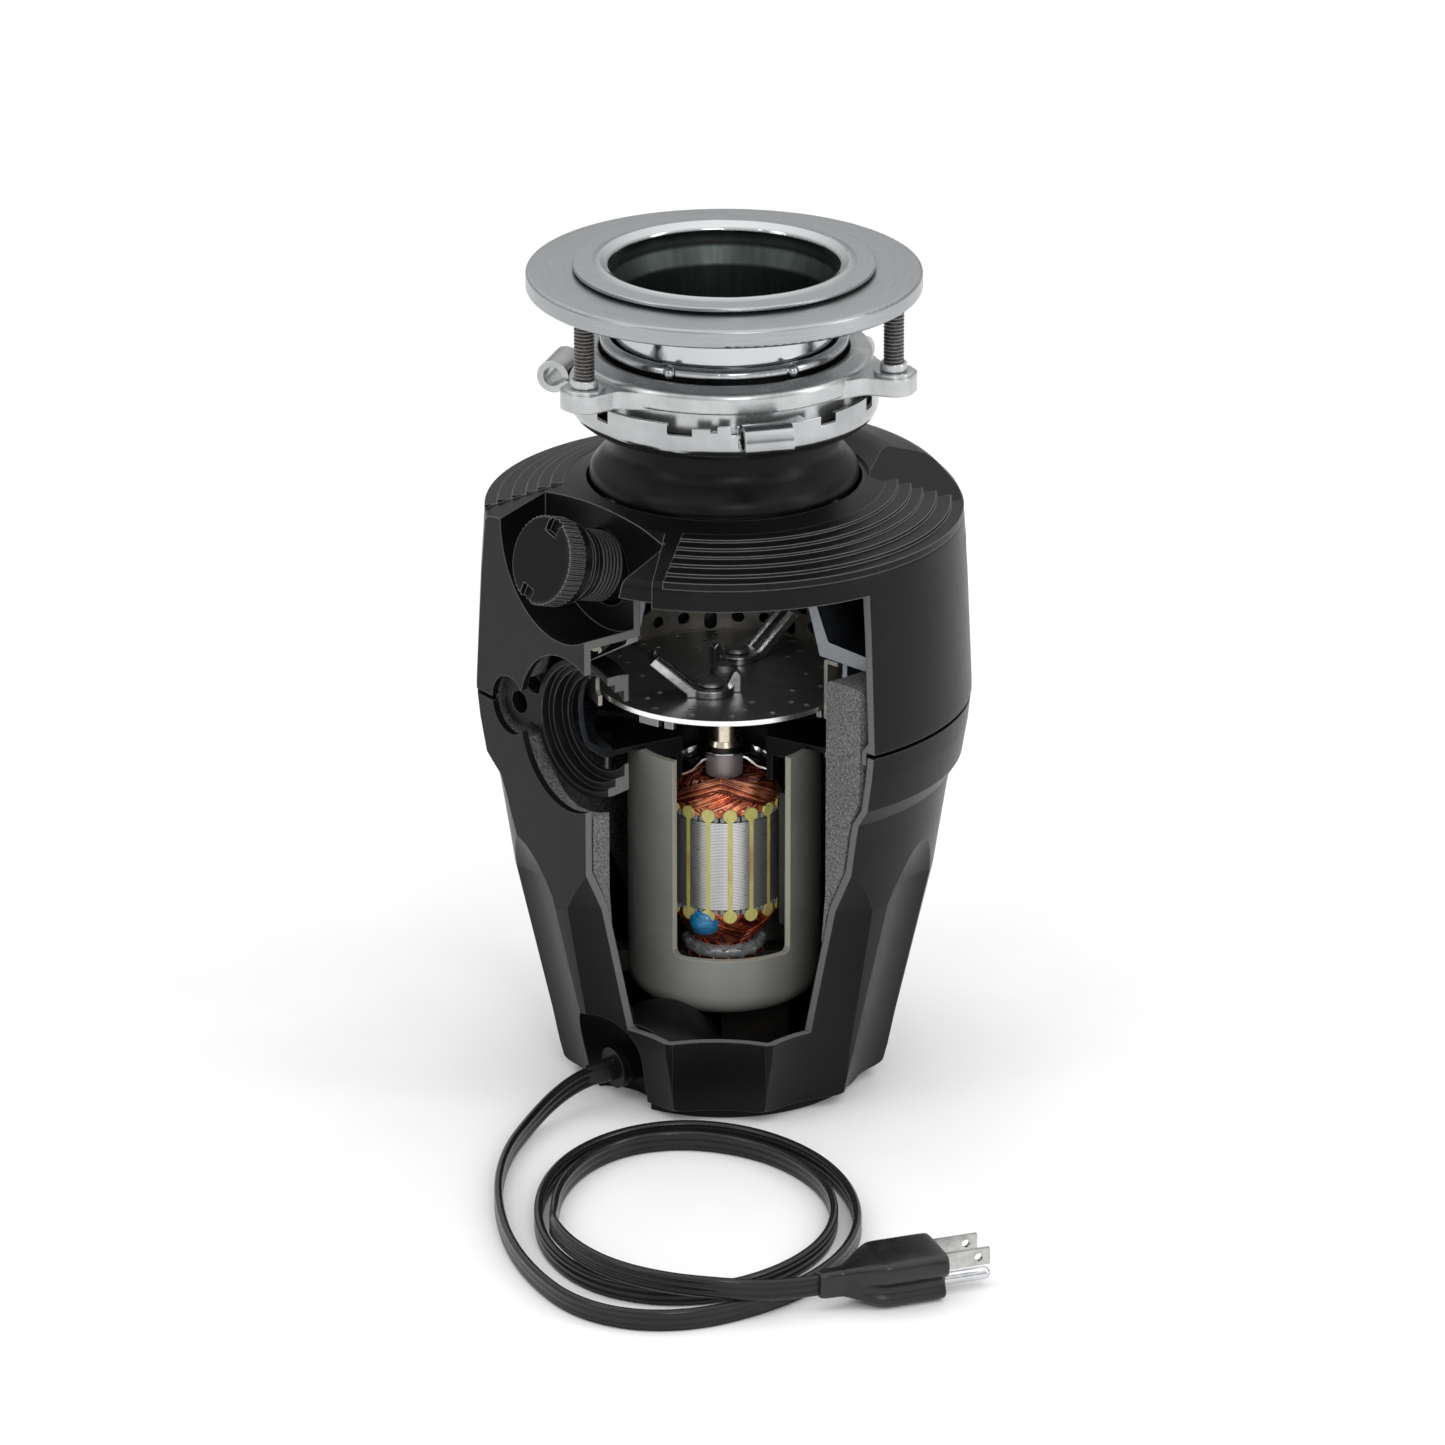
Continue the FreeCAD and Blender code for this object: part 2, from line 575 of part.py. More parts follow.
def dishwasher_cap():
    """Knurled cap with two notches for a turning tool."""
    teeth = 46
    outline = []
    for index in range(teeth):
        for radius, offset in ((CAP_R - 0.7, 0.0), (CAP_R, 0.35), (CAP_R, 0.65)):
            angle = 2 * math.pi * (index + offset) / teeth
            outline.append((radius * math.cos(angle), radius * math.sin(angle)))
    knurl = prism(outline, -8.5, -1.0)
    skirt = disc(CAP_R - 1.2, -CAP_DEPTH, -8.0)
    crown = lathe([(0, -2.0), (CAP_R - 0.5, -2.0), (CAP_R - 0.5, 0, 1.2), (0, 0)])
    cap = fuse_all([knurl, skirt, crown])
    cap = cap.cut(disc(SPOUT_R + RUNNING, -CAP_DEPTH - 1, -3.1))
    for side in (1, -1):
        cap = cap.cut(block(side * 14.6 - 3.4, side * 14.6 + 3.4, -3.4, 3.4, -2.4, 1))
    cap.rotate(ORIGIN, UP, 25)
    placement = FreeCAD.Placement(INLET_FACE, FreeCAD.Rotation(UP, INLET_AXIS))
    cap.Placement = placement.multiply(cap.Placement)
    return cap


def port_local(profile):
    """Solid turned about the outlet's own axis, from (radius, distance out) corners."""
    face = Part.Face(closed_wire([(point[0], -point[1], 0) + tuple(point[2:]) for point in profile]))
    solid = face.revolve(ORIGIN, vec(0, 1, 0), 360)
    solid.rotate(ORIGIN, UP, PORT_AZIMUTH)
    solid.translate(vec(0, 0, PORT_Z))
    return solid


def discharge_port():
    """Stepped waste outlet with a screw ear, cut by the display window."""
    face = PORT_FACE_R
    body = port_local([
        (18.6, 60.9), (27.0, 60.9), (PORT_R, face - 4.5), (PORT_R, face, 0.6), (24.6, face, 0.6),
        (24.6, face - 3.6), (22.0, face - 3.6), (22.0, face - 8.0), (18.6, face - 8.0)])
    ear = rod(vec(-PORT_EAR_OFFSET, -face + 6.5, 0), vec(0, -1, 0), 9.0, 6.5)
    web = block(-PORT_EAR_OFFSET, -PORT_R + 3.0, -face, -face + 6.5, -6.2, 6.2)
    ear = ear.fuse(web)
    ear = turned(ear, PORT_AZIMUTH)
    ear.translate(vec(0, 0, PORT_Z))
    hole = turned(rod(vec(-PORT_EAR_OFFSET, -50, 0), vec(0, -1, 0), 4.5, 40), PORT_AZIMUTH)
    hole.translate(vec(0, 0, PORT_Z))
    bore = port_local([(0, 40), (24.6, 40), (24.6, 90), (0, 90)])
    ear = ear.cut(bore)
    shape = fuse_all([body, ear]).cut(hole)
    return shape.cut(window(100, 220)).removeSplitter()


def shredder_ring():
    """Fixed grinding ring with two staggered rows of holes, cut away at the front."""
    ring = lathe([(SHREDDER_R, 157.0), (SHREDDER_R + 1.6, 157.0), (SHREDDER_R + 1.6, 179.4),
                  (57.4, 179.4), (57.4, 181.0), (SHREDDER_R, 181.0, 1.4)], 48, 294)
    cuts = []
    for index in range(20):
        azimuth = 60 + index * 12.0
        upper = rod(polar(45, azimuth, 173.0), outward(azimuth), 2.6, 12)
        cuts.append(upper)
        lower_azimuth = azimuth + 6.0
        lower = rod(polar(45, lower_azimuth, 166.4), outward(lower_azimuth), 2.5, 12)
        if index % 3 == 1:
            lower = lower.fuse(rod(polar(45, lower_azimuth, 163.6), outward(lower_azimuth), 2.5, 12))
            slot = block(-2.5, 2.5, -57, -45, 163.6, 166.4)
            lower = lower.fuse(turned(slot, lower_azimuth))
        cuts.append(lower)
    return ring.cut(cuts)


def drain_bowl():
    """Bowl under the turntable that gathers the ground waste; its floor is cut further back than its wall."""
    wall = lathe([(50.0, 140.2), (56.0, 140.2, 4.0), (60.6, 144.0, 3.0), (60.6, 182.9), (58.4, 182.9),
                  (58.4, 145.0, 2.0), (54.0, 142.4, 3.0), (50.0, 142.4)], 50, 308)
    floor = tube(51.0, 12.0, 140.2, 142.4, 104, 256)
    bowl = fuse_all([wall, floor])
    return bowl.cut(port_local([(0, 30), (18.6, 30), (18.6, 90), (0, 90)]))


# ---------------------------------------------------------------- grinding set
def turntable():
    table = disc(TABLE_R, TABLE_TOP - TABLE_THICK, TABLE_TOP)
    cuts = [disc(SHAFT_R, 150, 170)]
    for count, radius, first in ((18, 44.6, 4.0), (12, 38.5, 11.0), (10, 31.0, 20.0)):
        for index in range(count):
            hole = disc(1.25, 150, 170)
            hole.translate(polar(radius, first + index * 360.0 / count, 0))
            cuts.append(hole)
    for azimuth in (-15.0, 165.0):
        hole = disc(2.9, 150, 170)
        hole.translate(polar(PIVOT_R, azimuth, 0))
        cuts.append(hole)
    table = table.cut(cuts)
    lugs = []
    for azimuth in (-36, 54, 144, 234):
        for offset, width in ((0.0, 4.4), (10.5, 1.8)):
            lug = block(-width, width, -48.6, -46.4, 156.4, TABLE_TOP - 1)
            lugs.append(turned(lug, azimuth + offset))
    return fuse_all([table] + lugs)


def turntable_nut():
    washer = tube(6.6, SHAFT_R, TABLE_TOP, TABLE_TOP + 1.0)
    dome = lathe([(0, 162.5), (5.4, 162.5, 0.5), (5.0, 165.2, 1.4), (3.0, 166.2, 1.0), (0, 166.2)])
    return washer.fuse(dome).cut(disc(SHAFT_R, 150, 163.4)).removeSplitter()


def impeller(azimuth, heading):
    """Swivel impeller: a flat foot, an arm bent up with two ribs, and a small fin opposite."""
    base = 0.25
    foot = disc(8.6, base, base + 2.8)
    shelf = block(0, 10.0, -5.4, 5.4, base, base + 2.8)
    arm = block(0, 21.0, -5.4, 5.4, 0, 3.0)
    for side in (-3.4, 3.4):
        rib = Part.makeCylinder(1.7, 20.4, vec(0, side, 2.4), vec(1, 0, 0))
        arm = arm.fuse(rib)
    arm = arm.common(block(-1, 21.0, -5.4, 5.4, -1, 4.3))
    arm.rotate(ORIGIN, vec(0, 1, 0), -42)
    arm.translate(vec(8.6, 0, base))
    arm = arm.cut(block(-5, 40, -20, 20, base - 10, base))
    fin_face = Part.Face(closed_wire([(-6.0, -2.0, base), (-11.0, -2.0, base), (-11.0, -2.0, base + 6.5, 1.0),
                                      (-9.0, -2.0, base + 9.0, 1.0), (-6.0, -2.0, base + 3.0)]))
    fin = fin_face.extrude(vec(0, 4.0, 0))
    shape = fuse_all([foot, shelf, arm, fin])
    shape = shape.cut(disc(3.2 + RUNNING, -5, 10))
    shape.rotate(ORIGIN, UP, heading)
    shape.translate(polar(PIVOT_R, azimuth, TABLE_TOP))
    return shape


def impeller_rivets():
    rivets = []
    for azimuth in (-15.0, 165.0):
        shank = disc(3.2, TABLE_TOP, TABLE_TOP + 3.3)
        tail = disc(2.9, TABLE_TOP - TABLE_THICK - 0.9, TABLE_TOP)
        head = lathe([(0, TABLE_TOP + 3.3), (5.0, TABLE_TOP + 3.3, 0.3), (4.6, TABLE_TOP + 4.7, 1.0),
                      (0, TABLE_TOP + 5.0)])
        rivet = fuse_all([shank, tail, head])
        rivet.translate(polar(PIVOT_R, azimuth, 0))
        rivets.append(rivet)
    return Part.makeCompound(rivets)


def rotor_hub():
    low = HUB_BOTTOM
    high = TABLE_TOP - TABLE_THICK
    return lathe([(SHAFT_R, low), (7.2, low), (6.4, low + 2.4, 2.0),
                  (6.4, high - 2.6, 2.0), (8.2, high), (SHAFT_R, high)])


def slinger():
    """Saucer that throws water clear of the bearing."""
    low = BEARING_TOP + 0.4
    return lathe([(SHAFT_R, low), (6.8, low, 1.0), (10.5, low + 1.0), (10.5, low + 1.7, 0.2),
                  (7.4, HUB_BOTTOM), (SHAFT_R, HUB_BOTTOM)])


# ---------------------------------------------------------------- motor
def shaft():
    return disc(SHAFT_R, 37.4, 163.4)


def upper_bearing():
    return tube(7.2, SHAFT_R + RUNNING, BEARING_BOTTOM, BEARING_TOP)


def bearing_cup():
    """Sheet-metal cup that holds the bearing, cut open at the front."""
    return lathe([(7.25, 127.6), (8.4, 127.2, 1.0), (12.6, 123.6, 2.0), (17.6, 122.4, 0.6), (CUP_R, 127.0),
                  (CUP_R - 0.7, 127.2), (17.0, 123.3, 0.5), (12.9, 124.5, 2.0), (9.0, 128.0, 1.0),
                  (7.25, 128.4)], 88, 290)


def upper_end_frame():
    """Die-cast end frame on top of the motor can, cut open at the front."""
    rim = CAN_R - CAN_WALL - 0.2
    inside = CUP_R + 0.05
    frame = lathe([(inside, 122.2), (inside + 2.6, 122.2, 0.5), (inside + 2.6, 132.6), (rim, 132.6),
                   (rim, CAN_TOP + 0.05), (51.0, CAN_TOP + 0.05), (51.0, 140.1), (inside, 140.1)], 60, 300)
    return frame.cut([polar_hole(BOLT_CIRCLE_R, azimuth, 2.1) for azimuth in BOLT_AZIMUTHS])


def polar_hole(radius, azimuth, hole_radius, low=120.0, high=150.0):
    hole = disc(hole_radius, low, high)
    hole.translate(polar(radius, azimuth, 0))
    return hole


def motor_bolts():
    bolt = fuse_all([disc(2.0, 126.0, 140.15), disc(3.8, 134.5, CAN_TOP)])
    bolt.translate(vec(0, -BOLT_CIRCLE_R, 0))
    return around(bolt, BOLT_AZIMUTHS)


def lower_bearing():
    return tube(9.0, SHAFT_R + RUNNING, CAN_BOTTOM + CAN_WALL + 0.1, COMMUTATOR_BOTTOM - 0.4)


def motor_can():
    """Deep-drawn can with a round-cornered window at the front, cut towards the axis."""
    inner = CAN_R - CAN_WALL
    floor = CAN_BOTTOM + CAN_WALL
    can = lathe([(0, CAN_BOTTOM), (CAN_R, CAN_BOTTOM, 9.0), (CAN_R, CAN_TOP), (inner, CAN_TOP),
                 (inner, floor, 6.0), (0, floor)])
    wires = []
    for y in (-5.0, -60.0):
        left, right = [x * y / -30.0 for x in CAN_WINDOW]
        wires.append(closed_wire([(left, y, 200), (left, y, CAN_WINDOW_BOTTOM, 7.0 * y / -60.0),
                                  (right, y, CAN_WINDOW_BOTTOM, 7.0 * y / -60.0), (right, y, 200)]))
    opening = Part.makeLoft(wires, True, True)
    can = can.cut(opening)
    half = BRUSH_HEIGHT / 2 + 1.1
    for azimuth in BRUSH_AZIMUTHS:
        can = can.cut(turned(block(-5.3, 5.3, -50, -20, BRUSH_Z - half, BRUSH_Z + half), azimuth))
    return can


def magnets():
    outer = CAN_R - CAN_WALL - 0.05
    return Part.makeCompound([tube(outer, 24.6, 64.0, 118.0, side - 33, side + 33) for side in (92, 270)])


def armature_core():
    core = tube(CORE_R, SHAFT_R, CORE_BOTTOM, CORE_TOP)
    cuts = []
    for index in range(SLOTS):
        slot = block(-0.9, 0.9, -CORE_R - 1, -CORE_R + 3.0, CORE_BOTTOM - 1, CORE_TOP + 1)
        cuts.append(turned(slot, index * 360.0 / SLOTS + 6.0))
    return core.cut(cuts)


def slot_liners():
    """Slot papers: a strip in each slot, with a round tab above and below the core."""
    liners = []
    for index in range(SLOTS):
        strip = block(-0.88, 0.88, -CORE_R, -CORE_R + 1.4, CORE_BOTTOM - 0.6, CORE_TOP + 0.6)
        tabs = [rod(vec(0, -CORE_R + 1.2, z), vec(0, -1, 0), 2.7, 1.2)
                for z in (CORE_TOP + 2.72, CORE_BOTTOM - 2.72)]
        liners.append(turned(fuse_all([strip] + tabs), index * 360.0 / SLOTS + 6.0))
    return Part.makeCompound(liners)


def upper_winding():
    low = CORE_TOP + 0.05
    return lathe([(SHAFT_R + 0.01, low), (19.4, low), (20.4, 112.2, 3.0), (18.6, 117.0, 6.0),
                  (11.0, 120.2, 5.0), (6.8, 120.4), (SHAFT_R + 0.01, 120.4)])


def lower_winding():
    high = CORE_BOTTOM - 0.05
    return lathe([(SHAFT_R + 0.01, high), (19.4, high), (20.0, 69.5, 3.0), (17.0, 63.5, 4.0),
                  (12.0, 57.6, 3.0), (9.0, 55.4), (SHAFT_R + 0.01, 55.4)])


def varnish_patch():
    """Drop of coloured sealing varnish on the lower winding."""
    patch = Part.makeSphere(6.4, polar(17.6, -24.0, 67.0))
    return patch.cut([lower_winding(), disc(CORE_R, CORE_BOTTOM - 0.05, 120), slot_liners(),
                      disc(40, 30, 62.2)])


def commutator():
    """Copper segments with a glazed ring where the winding's ends are welded."""
    barrel = disc(COMMUTATOR_R, COMMUTATOR_BOTTOM, GLAZE_Z - 0.4)
    cuts = []
    for index in range(SLOTS):
        gap = block(-0.25, 0.25, -14, -COMMUTATOR_R + 1.0, COMMUTATOR_BOTTOM - 1, GLAZE_Z - 1.9)
        cuts.append(turned(gap, index * 360.0 / SLOTS))
    barrel = barrel.cut(cuts)
    glaze = Part.makeTorus(GLAZE_R, 2.4, vec(0, 0, GLAZE_Z))
    tabs = []
    for index in range(SLOTS):
        tab = rod(vec(0, -COMMUTATOR_R, GLAZE_Z - 1.9), vec(0, -0.5, 0.86), 1.3, 5.6)
        tabs.append(turned(tab, index * 360.0 / SLOTS))
    shape = fuse_all([barrel, glaze] + tabs)
    return shape.cut([disc(SHAFT_R, 35, 70), lower_winding()])


def brushes():
    half = BRUSH_HEIGHT / 2
    brush = block(-3.0, 3.0, -27.0, -COMMUTATOR_R - 0.3, BRUSH_Z - half, BRUSH_Z + half)
    return around(brush, BRUSH_AZIMUTHS)


def brush_holders():
    half = BRUSH_HEIGHT / 2
    holder = block(-5.2, 5.2, -43.0, -16.4, BRUSH_Z - half - 1.0, BRUSH_Z + half + 1.0)
    holder = holder.cut(block(-3.05, 3.05, -41.0, -10.0, BRUSH_Z - half - 0.05, BRUSH_Z + half + 0.05))
    return around(holder, BRUSH_AZIMUTHS)


def brush_springs():
    """Coil spring behind each brush, drawn as stacked turns."""
    springs = []
    for azimuth in BRUSH_AZIMUTHS:
        profile = [(1.3, 27.05)]
        turns = 7
        pitch = 13.85 / turns
        for index in range(turns):
            out = 27.05 + index * pitch
            profile += [(2.4, out + 0.05), (2.7, out + pitch * 0.3)]
            profile += [(2.7, out + pitch * 0.6), (2.2, out + pitch * 0.95)]
        profile += [(1.3, 40.9)]
        face = Part.Face(closed_wire([(point[0], -point[1], 0) for point in profile]))
        spring = face.revolve(ORIGIN, vec(0, 1, 0), 360)
        spring.translate(vec(0, 0, BRUSH_Z))
        springs.append(turned(spring, azimuth))
    return Part.makeCompound(springs)


# ---------------------------------------------------------------- electrics
def overload_protector():
    """Block on the base that houses the reset button's stem."""
    case = block(BUTTON_X - 13, BUTTON_X + 13, BUTTON_Y - 9, BUTTON_Y + 9, BASE_Z + 1.25, 26.0)
    stem_hole = Part.makeCylinder(2.0 + RUNNING, 8, vec(BUTTON_X, BUTTON_Y, 11.0))
    well = Part.makeCylinder(5.6, 7, vec(BUTTON_X, BUTTON_Y, 4.5))
    return case.cut([stem_hole, well])


def reset_button():
    head = lathe([(0, 1.6), (5.0, 1.6, 0.8), (5.0, 7.0), (0, 7.0)])
    stem = disc(2.0, 6.5, 14.5)
    button = head.fuse(stem)
    button.translate(vec(BUTTON_X, BUTTON_Y, 0))
    return button


def rectifier():
    """Bridge rectifier that feeds the motor: a block with four legs."""
    case = block(-24.0, -10.0, 10.0, 26.0, 14.0, 22.0)
    legs = [Part.makeCylinder(0.8, 8.3, vec(x, y, BASE_Z + 1.25))
            for x in (-21.5, -12.5) for y in (13.0, 23.0)]
    return fuse_all([case] + legs)


def wiring_cover():
    """Domed cover over the wire joints, beside the cord's recess."""
    centre = vec(-24.0, -40.0, 17.0)
    dome = Part.makeSphere(25.0, centre).cut(Part.makeSphere(22.8, centre))
    dome = dome.cut(block(-80, 40, -120, 40, -20, BASE_Z + WALL + 0.1))
    dome = dome.cut([cord_recess(WALL + 0.3), window(WINDOW_BOTTOM + 8, 60), disc(CAN_R + 0.5, 33, 60)])
    inner = lower_solid(WALL + 0.3)
    return dome.common(inner)


def cord_gland():
    """Flanged bushing that grips the cord in the recess wall."""
    sleeve = rod(CORD_START - CORD_HEADING * 12.0, CORD_HEADING, 7.0, 9.5)
    return sleeve.fuse(rod(CORD_START - CORD_HEADING * 3.0, CORD_HEADING, 8.2, 3.0)).removeSplitter()


def cord():
    """Straight runs joined by tangent arcs, swept with a round section."""
    points = [vec(*point) for point in CORD_ROUTE]
    edges = []
    radii = []
    previous = points[0]
    for index in range(1, len(points) - 1):
        before, corner, after = points[index - 1:index + 2]
        inward = (before - corner).normalize()
        onward = (after - corner).normalize()
        turn = math.pi - inward.getAngle(onward)
        shorter = min((before - corner).Length, (after - corner).Length)
        radius = 0.45 * shorter / math.tan(turn / 2)
        arc, start, end = arc_between(before, corner, after, radius)
        edges.append(Part.LineSegment(previous, start).toShape())
        edges.append(arc)
        previous = end
        radii.append(round(radius))
    edges.append(Part.LineSegment(previous, points[-1]).toShape())
    path = Part.Wire(edges)
    circle = Part.Wire(Part.makeCircle(CORD_R, points[0], CORD_HEADING))
    solid = path.makePipeShell([circle], True, False)
    print("cord arc radii", radii)
    print("cord length %.1f  volume %.0f  section x length %.0f" %
          (path.Length, solid.Volume, math.pi * CORD_R ** 2 * path.Length))
    return solid


def in_plug(shape):
    """Put a shape built along +X from the origin at the plug's place."""
    shape.rotate(ORIGIN, UP, PLUG_HEADING)
    shape.translate(vec(*PLUG_START))
    return shape


PLUG_FACE = 47.0


def plug_body():
    """Moulded plug: a stepped grip with a tapered cord end."""
    tail = Part.makeCone(4.6, 6.2, 12.0, ORIGIN, vec(1, 0, 0))
    grip = prism([(10.0, -7.0), (22.0, -12.5, 5.0), (38.0, -12.5, 3.0), (PLUG_FACE, -13.4, 1.2),
                  (PLUG_FACE, 13.4, 1.2), (38.0, 12.5, 3.0), (22.0, 12.5, 5.0), (10.0, 7.0)], -10.4, 9.9)
    side = Part.Face(closed_wire([(10.0, -40, -6.0), (24.0, -40, -10.2, 6.0), (PLUG_FACE, -40, -10.2, 1.5),
                                  (PLUG_FACE, -40, 9.8, 2.0), (36.0, -40, 9.4, 4.0), (26.0, -40, 9.0, 5.0),
                                  (10.0, -40, 6.0)]))
    grip = grip.common(side.extrude(vec(0, 80, 0)))
    return in_plug(tail.fuse(grip).removeSplitter())


def plug_blades():
    """Two flat blades, each with a round hole near its tip."""
    blades = []
    for side in (-6.35, 6.35):
        blade = block(PLUG_FACE, PLUG_FACE + 17.5, side - 0.8, side + 0.8, 1.4, 7.8)
        blade = blade.cut(Part.makeCylinder(1.6, 10, vec(PLUG_FACE + 13.0, side - 5, 4.6), vec(0, 1, 0)))
        blades.append(in_plug(blade))
    return Part.makeCompound(blades)


def plug_ground_pin():
    pin = Part.makeCylinder(2.4, 18.0, vec(PLUG_FACE, 0, -5.4), vec(1, 0, 0))
    tip = Part.makeSphere(2.4, vec(PLUG_FACE + 18.0, 0, -5.4))
    return in_plug(pin.fuse(tip).removeSplitter())


# ---------------------------------------------------------------- write every piece
PIECES = {
    "sink_flange": sink_flange,
    "flange_gasket": flange_gasket,
    "support_ring": support_ring,
    "snap_ring": snap_ring,
    "mounting_ring": mounting_ring,
    "mounting_screws": mounting_screws,
    "screw_collars": screw_collars,
    "lock_ring": lock_ring,
    "neck_gasket": neck_gasket,
    "upper_housing": upper_housing,
    "lower_housing": lower_housing,
    "base_cover": base_cover,
    "base_screws": base_screws,
    "hopper": hopper,
    "dishwasher_inlet": dishwasher_inlet,
    "dishwasher_cap": dishwasher_cap,
    "discharge_port": discharge_port,
    "shredder_ring": shredder_ring,
    "drain_bowl": drain_bowl,
    "turntable": turntable,
    "turntable_nut": turntable_nut,
    "impeller_rivets": impeller_rivets,
    "rotor_hub": rotor_hub,
    "slinger": slinger,
    "shaft": shaft,
    "upper_bearing": upper_bearing,
    "bearing_cup": bearing_cup,
    "upper_end_frame": upper_end_frame,
    "motor_bolts": motor_bolts,
    "lower_bearing": lower_bearing,
    "motor_can": motor_can,
    "magnets": magnets,
    "armature_core": armature_core,
    "slot_liners": slot_liners,
    "upper_winding": upper_winding,
    "lower_winding": lower_winding,
    "varnish_patch": varnish_patch,
    "commutator": commutator,
    "brushes": brushes,
    "brush_holders": brush_holders,
    "brush_springs": brush_springs,
    "overload_protector": overload_protector,
    "reset_button": reset_button,
    "rectifier": rectifier,
    "wiring_cover": wiring_cover,
    "cord_gland": cord_gland,
    "cord": cord,
    "plug_body": plug_body,
    "plug_blades": plug_blades,
    "plug_ground_pin": plug_ground_pin,
}

for name, build in PIECES.items():
    export(name, build())
export("impeller_front", impeller(-15.0, 188.0))
export("impeller_rear", impeller(165.0, 30.0))
export("foam_right", foam_jacket(30, 178))
export("foam_left", foam_jacket(182, 322))
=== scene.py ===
import math
import random

import bmesh
import bpy
from mathutils import Matrix, Vector


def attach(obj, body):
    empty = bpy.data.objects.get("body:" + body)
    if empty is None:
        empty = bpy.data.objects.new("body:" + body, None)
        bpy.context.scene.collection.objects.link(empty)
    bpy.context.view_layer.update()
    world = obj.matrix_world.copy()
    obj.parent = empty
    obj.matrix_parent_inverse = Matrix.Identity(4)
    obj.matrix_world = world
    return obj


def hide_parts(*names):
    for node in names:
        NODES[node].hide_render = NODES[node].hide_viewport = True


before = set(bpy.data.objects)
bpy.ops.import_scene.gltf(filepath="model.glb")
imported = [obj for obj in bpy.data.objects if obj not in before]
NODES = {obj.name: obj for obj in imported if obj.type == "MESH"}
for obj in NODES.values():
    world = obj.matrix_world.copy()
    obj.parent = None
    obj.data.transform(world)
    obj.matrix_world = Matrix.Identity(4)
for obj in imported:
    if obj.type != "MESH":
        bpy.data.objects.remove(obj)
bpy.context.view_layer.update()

# A kitchen garbage disposal, cut open at the front, on a pale studio floor.
# Lengths below are millimetres unless they end in _M.
# An azimuth of 0 faces the front (-Y), and 90 the right (+X).
MM = 0.001

# ---------------------------------------------------------------- driving dimensions
CAMERA_PLACE_M = (0.0, -2.9321, 1.2793)
CAMERA_AIM_M = (0.0, 0.0, 0.142)
CAMERA_LENS = 204.3
CAMERA_SHIFT = -0.0012

CORD_WIDTH = 8.3
CORD_LOBE_R = 1.6
PLUG_START = (34.0, -226.0, 10.3)
PLUG_HEADING = 20.0
PLUG_FACE = 47.0

CUT_APEX = (-1.0, -22.0)      # the upright cut planes meet here
CUT_LEFT = -50.3
CUT_RIGHT = 46.5
WINDOW_TOP = 221.0
WINDOW_BOTTOM = 36.0

SLOTS = 16
SLOT_AZIMUTH = 6.0
CORE_R = 22.0
CORE_BOTTOM = 73.0
CORE_TOP = 109.0
WIRE_R = 0.42
LEAD_R = 0.42
LEADS_PER_SLOT = 5
RISER_R = 0.55
GLAZE_R = 13.2
GLAZE_Z = 52.0
GLAZE_SIZE = 2.85             # half the thickness of the glaze's bead

INLET_AZIMUTH = -52.0
INLET_TILT = 17.0
INLET_FACE_R = 87.6
INLET_FACE_Z = 228.0
SPOUT_R = 13.0
SPOUT_RIBS = 6

FLOOR_HALF_M = 9.0

# The cord's route, from the gland to the plug: out, round two loose loops on the floor, and over the
# strands that lie there already.
CORD_ROUTE = [
    (-43.0, -34.0, 12.5), (-54.0, -41.0, 11.5), (-65.0, -52.0, 8.0), (-75.0, -71.0, 4.2),
    (-82.0, -95.0, 4.2), (-85.0, -122.0, 4.2), (-84.0, -150.0, 4.2), (-79.0, -180.0, 4.2),
    (-69.0, -208.0, 4.2), (-55.0, -231.0, 4.2), (-35.0, -243.0, 4.2), (-12.0, -243.0, 4.2),
    (10.0, -232.0, 4.2), (29.0, -215.0, 4.2), (43.0, -193.0, 4.2), (50.0, -167.0, 4.2),
    (49.0, -140.0, 4.2), (41.0, -114.0, 4.2), (26.0, -92.0, 4.2), (5.0, -77.0, 4.2),
    (-19.0, -73.0, 4.2), (-41.0, -82.0, 4.2), (-58.0, -101.0, 4.2), (-67.5, -126.0, 4.2),
    (-70.0, -153.0, 4.2), (-66.5, -179.0, 4.2), (-56.0, -202.0, 4.2), (-40.0, -217.0, 4.2),
    (-18.0, -223.0, 4.2), (5.0, -217.0, 4.2), (25.0, -200.0, 4.2), (38.0, -177.0, 4.2),
    (42.0, -150.0, 4.2), (37.0, -124.0, 4.2), (23.0, -101.0, 4.2), (4.0, -87.0, 4.2),
    (-18.0, -82.0, 4.2), (-39.0, -89.0, 4.2), (-54.0, -107.0, 4.2), (-62.5, -132.0, 4.2),
    (-63.5, -158.0, 4.8), (-63.0, -182.0, 12.8), (-55.0, -203.0, 13.6), (-41.0, -220.0, 13.6),
    (-22.0, -231.0, 13.6), (-1.0, -236.0, 13.6), (19.0, -231.5, 10.3), PLUG_START,
]


# ---------------------------------------------------------------- helpers
def outward(azimuth):
    """Unit vector that points away from the axis at this azimuth."""
    angle = math.radians(azimuth)
    return Vector((math.sin(angle), -math.cos(angle), 0.0))


def polar(radius, azimuth, z):
    """Point in millimetres."""
    return outward(azimuth) * radius + Vector((0.0, 0.0, z))


def smoothstep(low, high, value):
    share = min(1.0, max(0.0, (value - low) / (high - low)))
    return share * share * (3.0 - 2.0 * share)


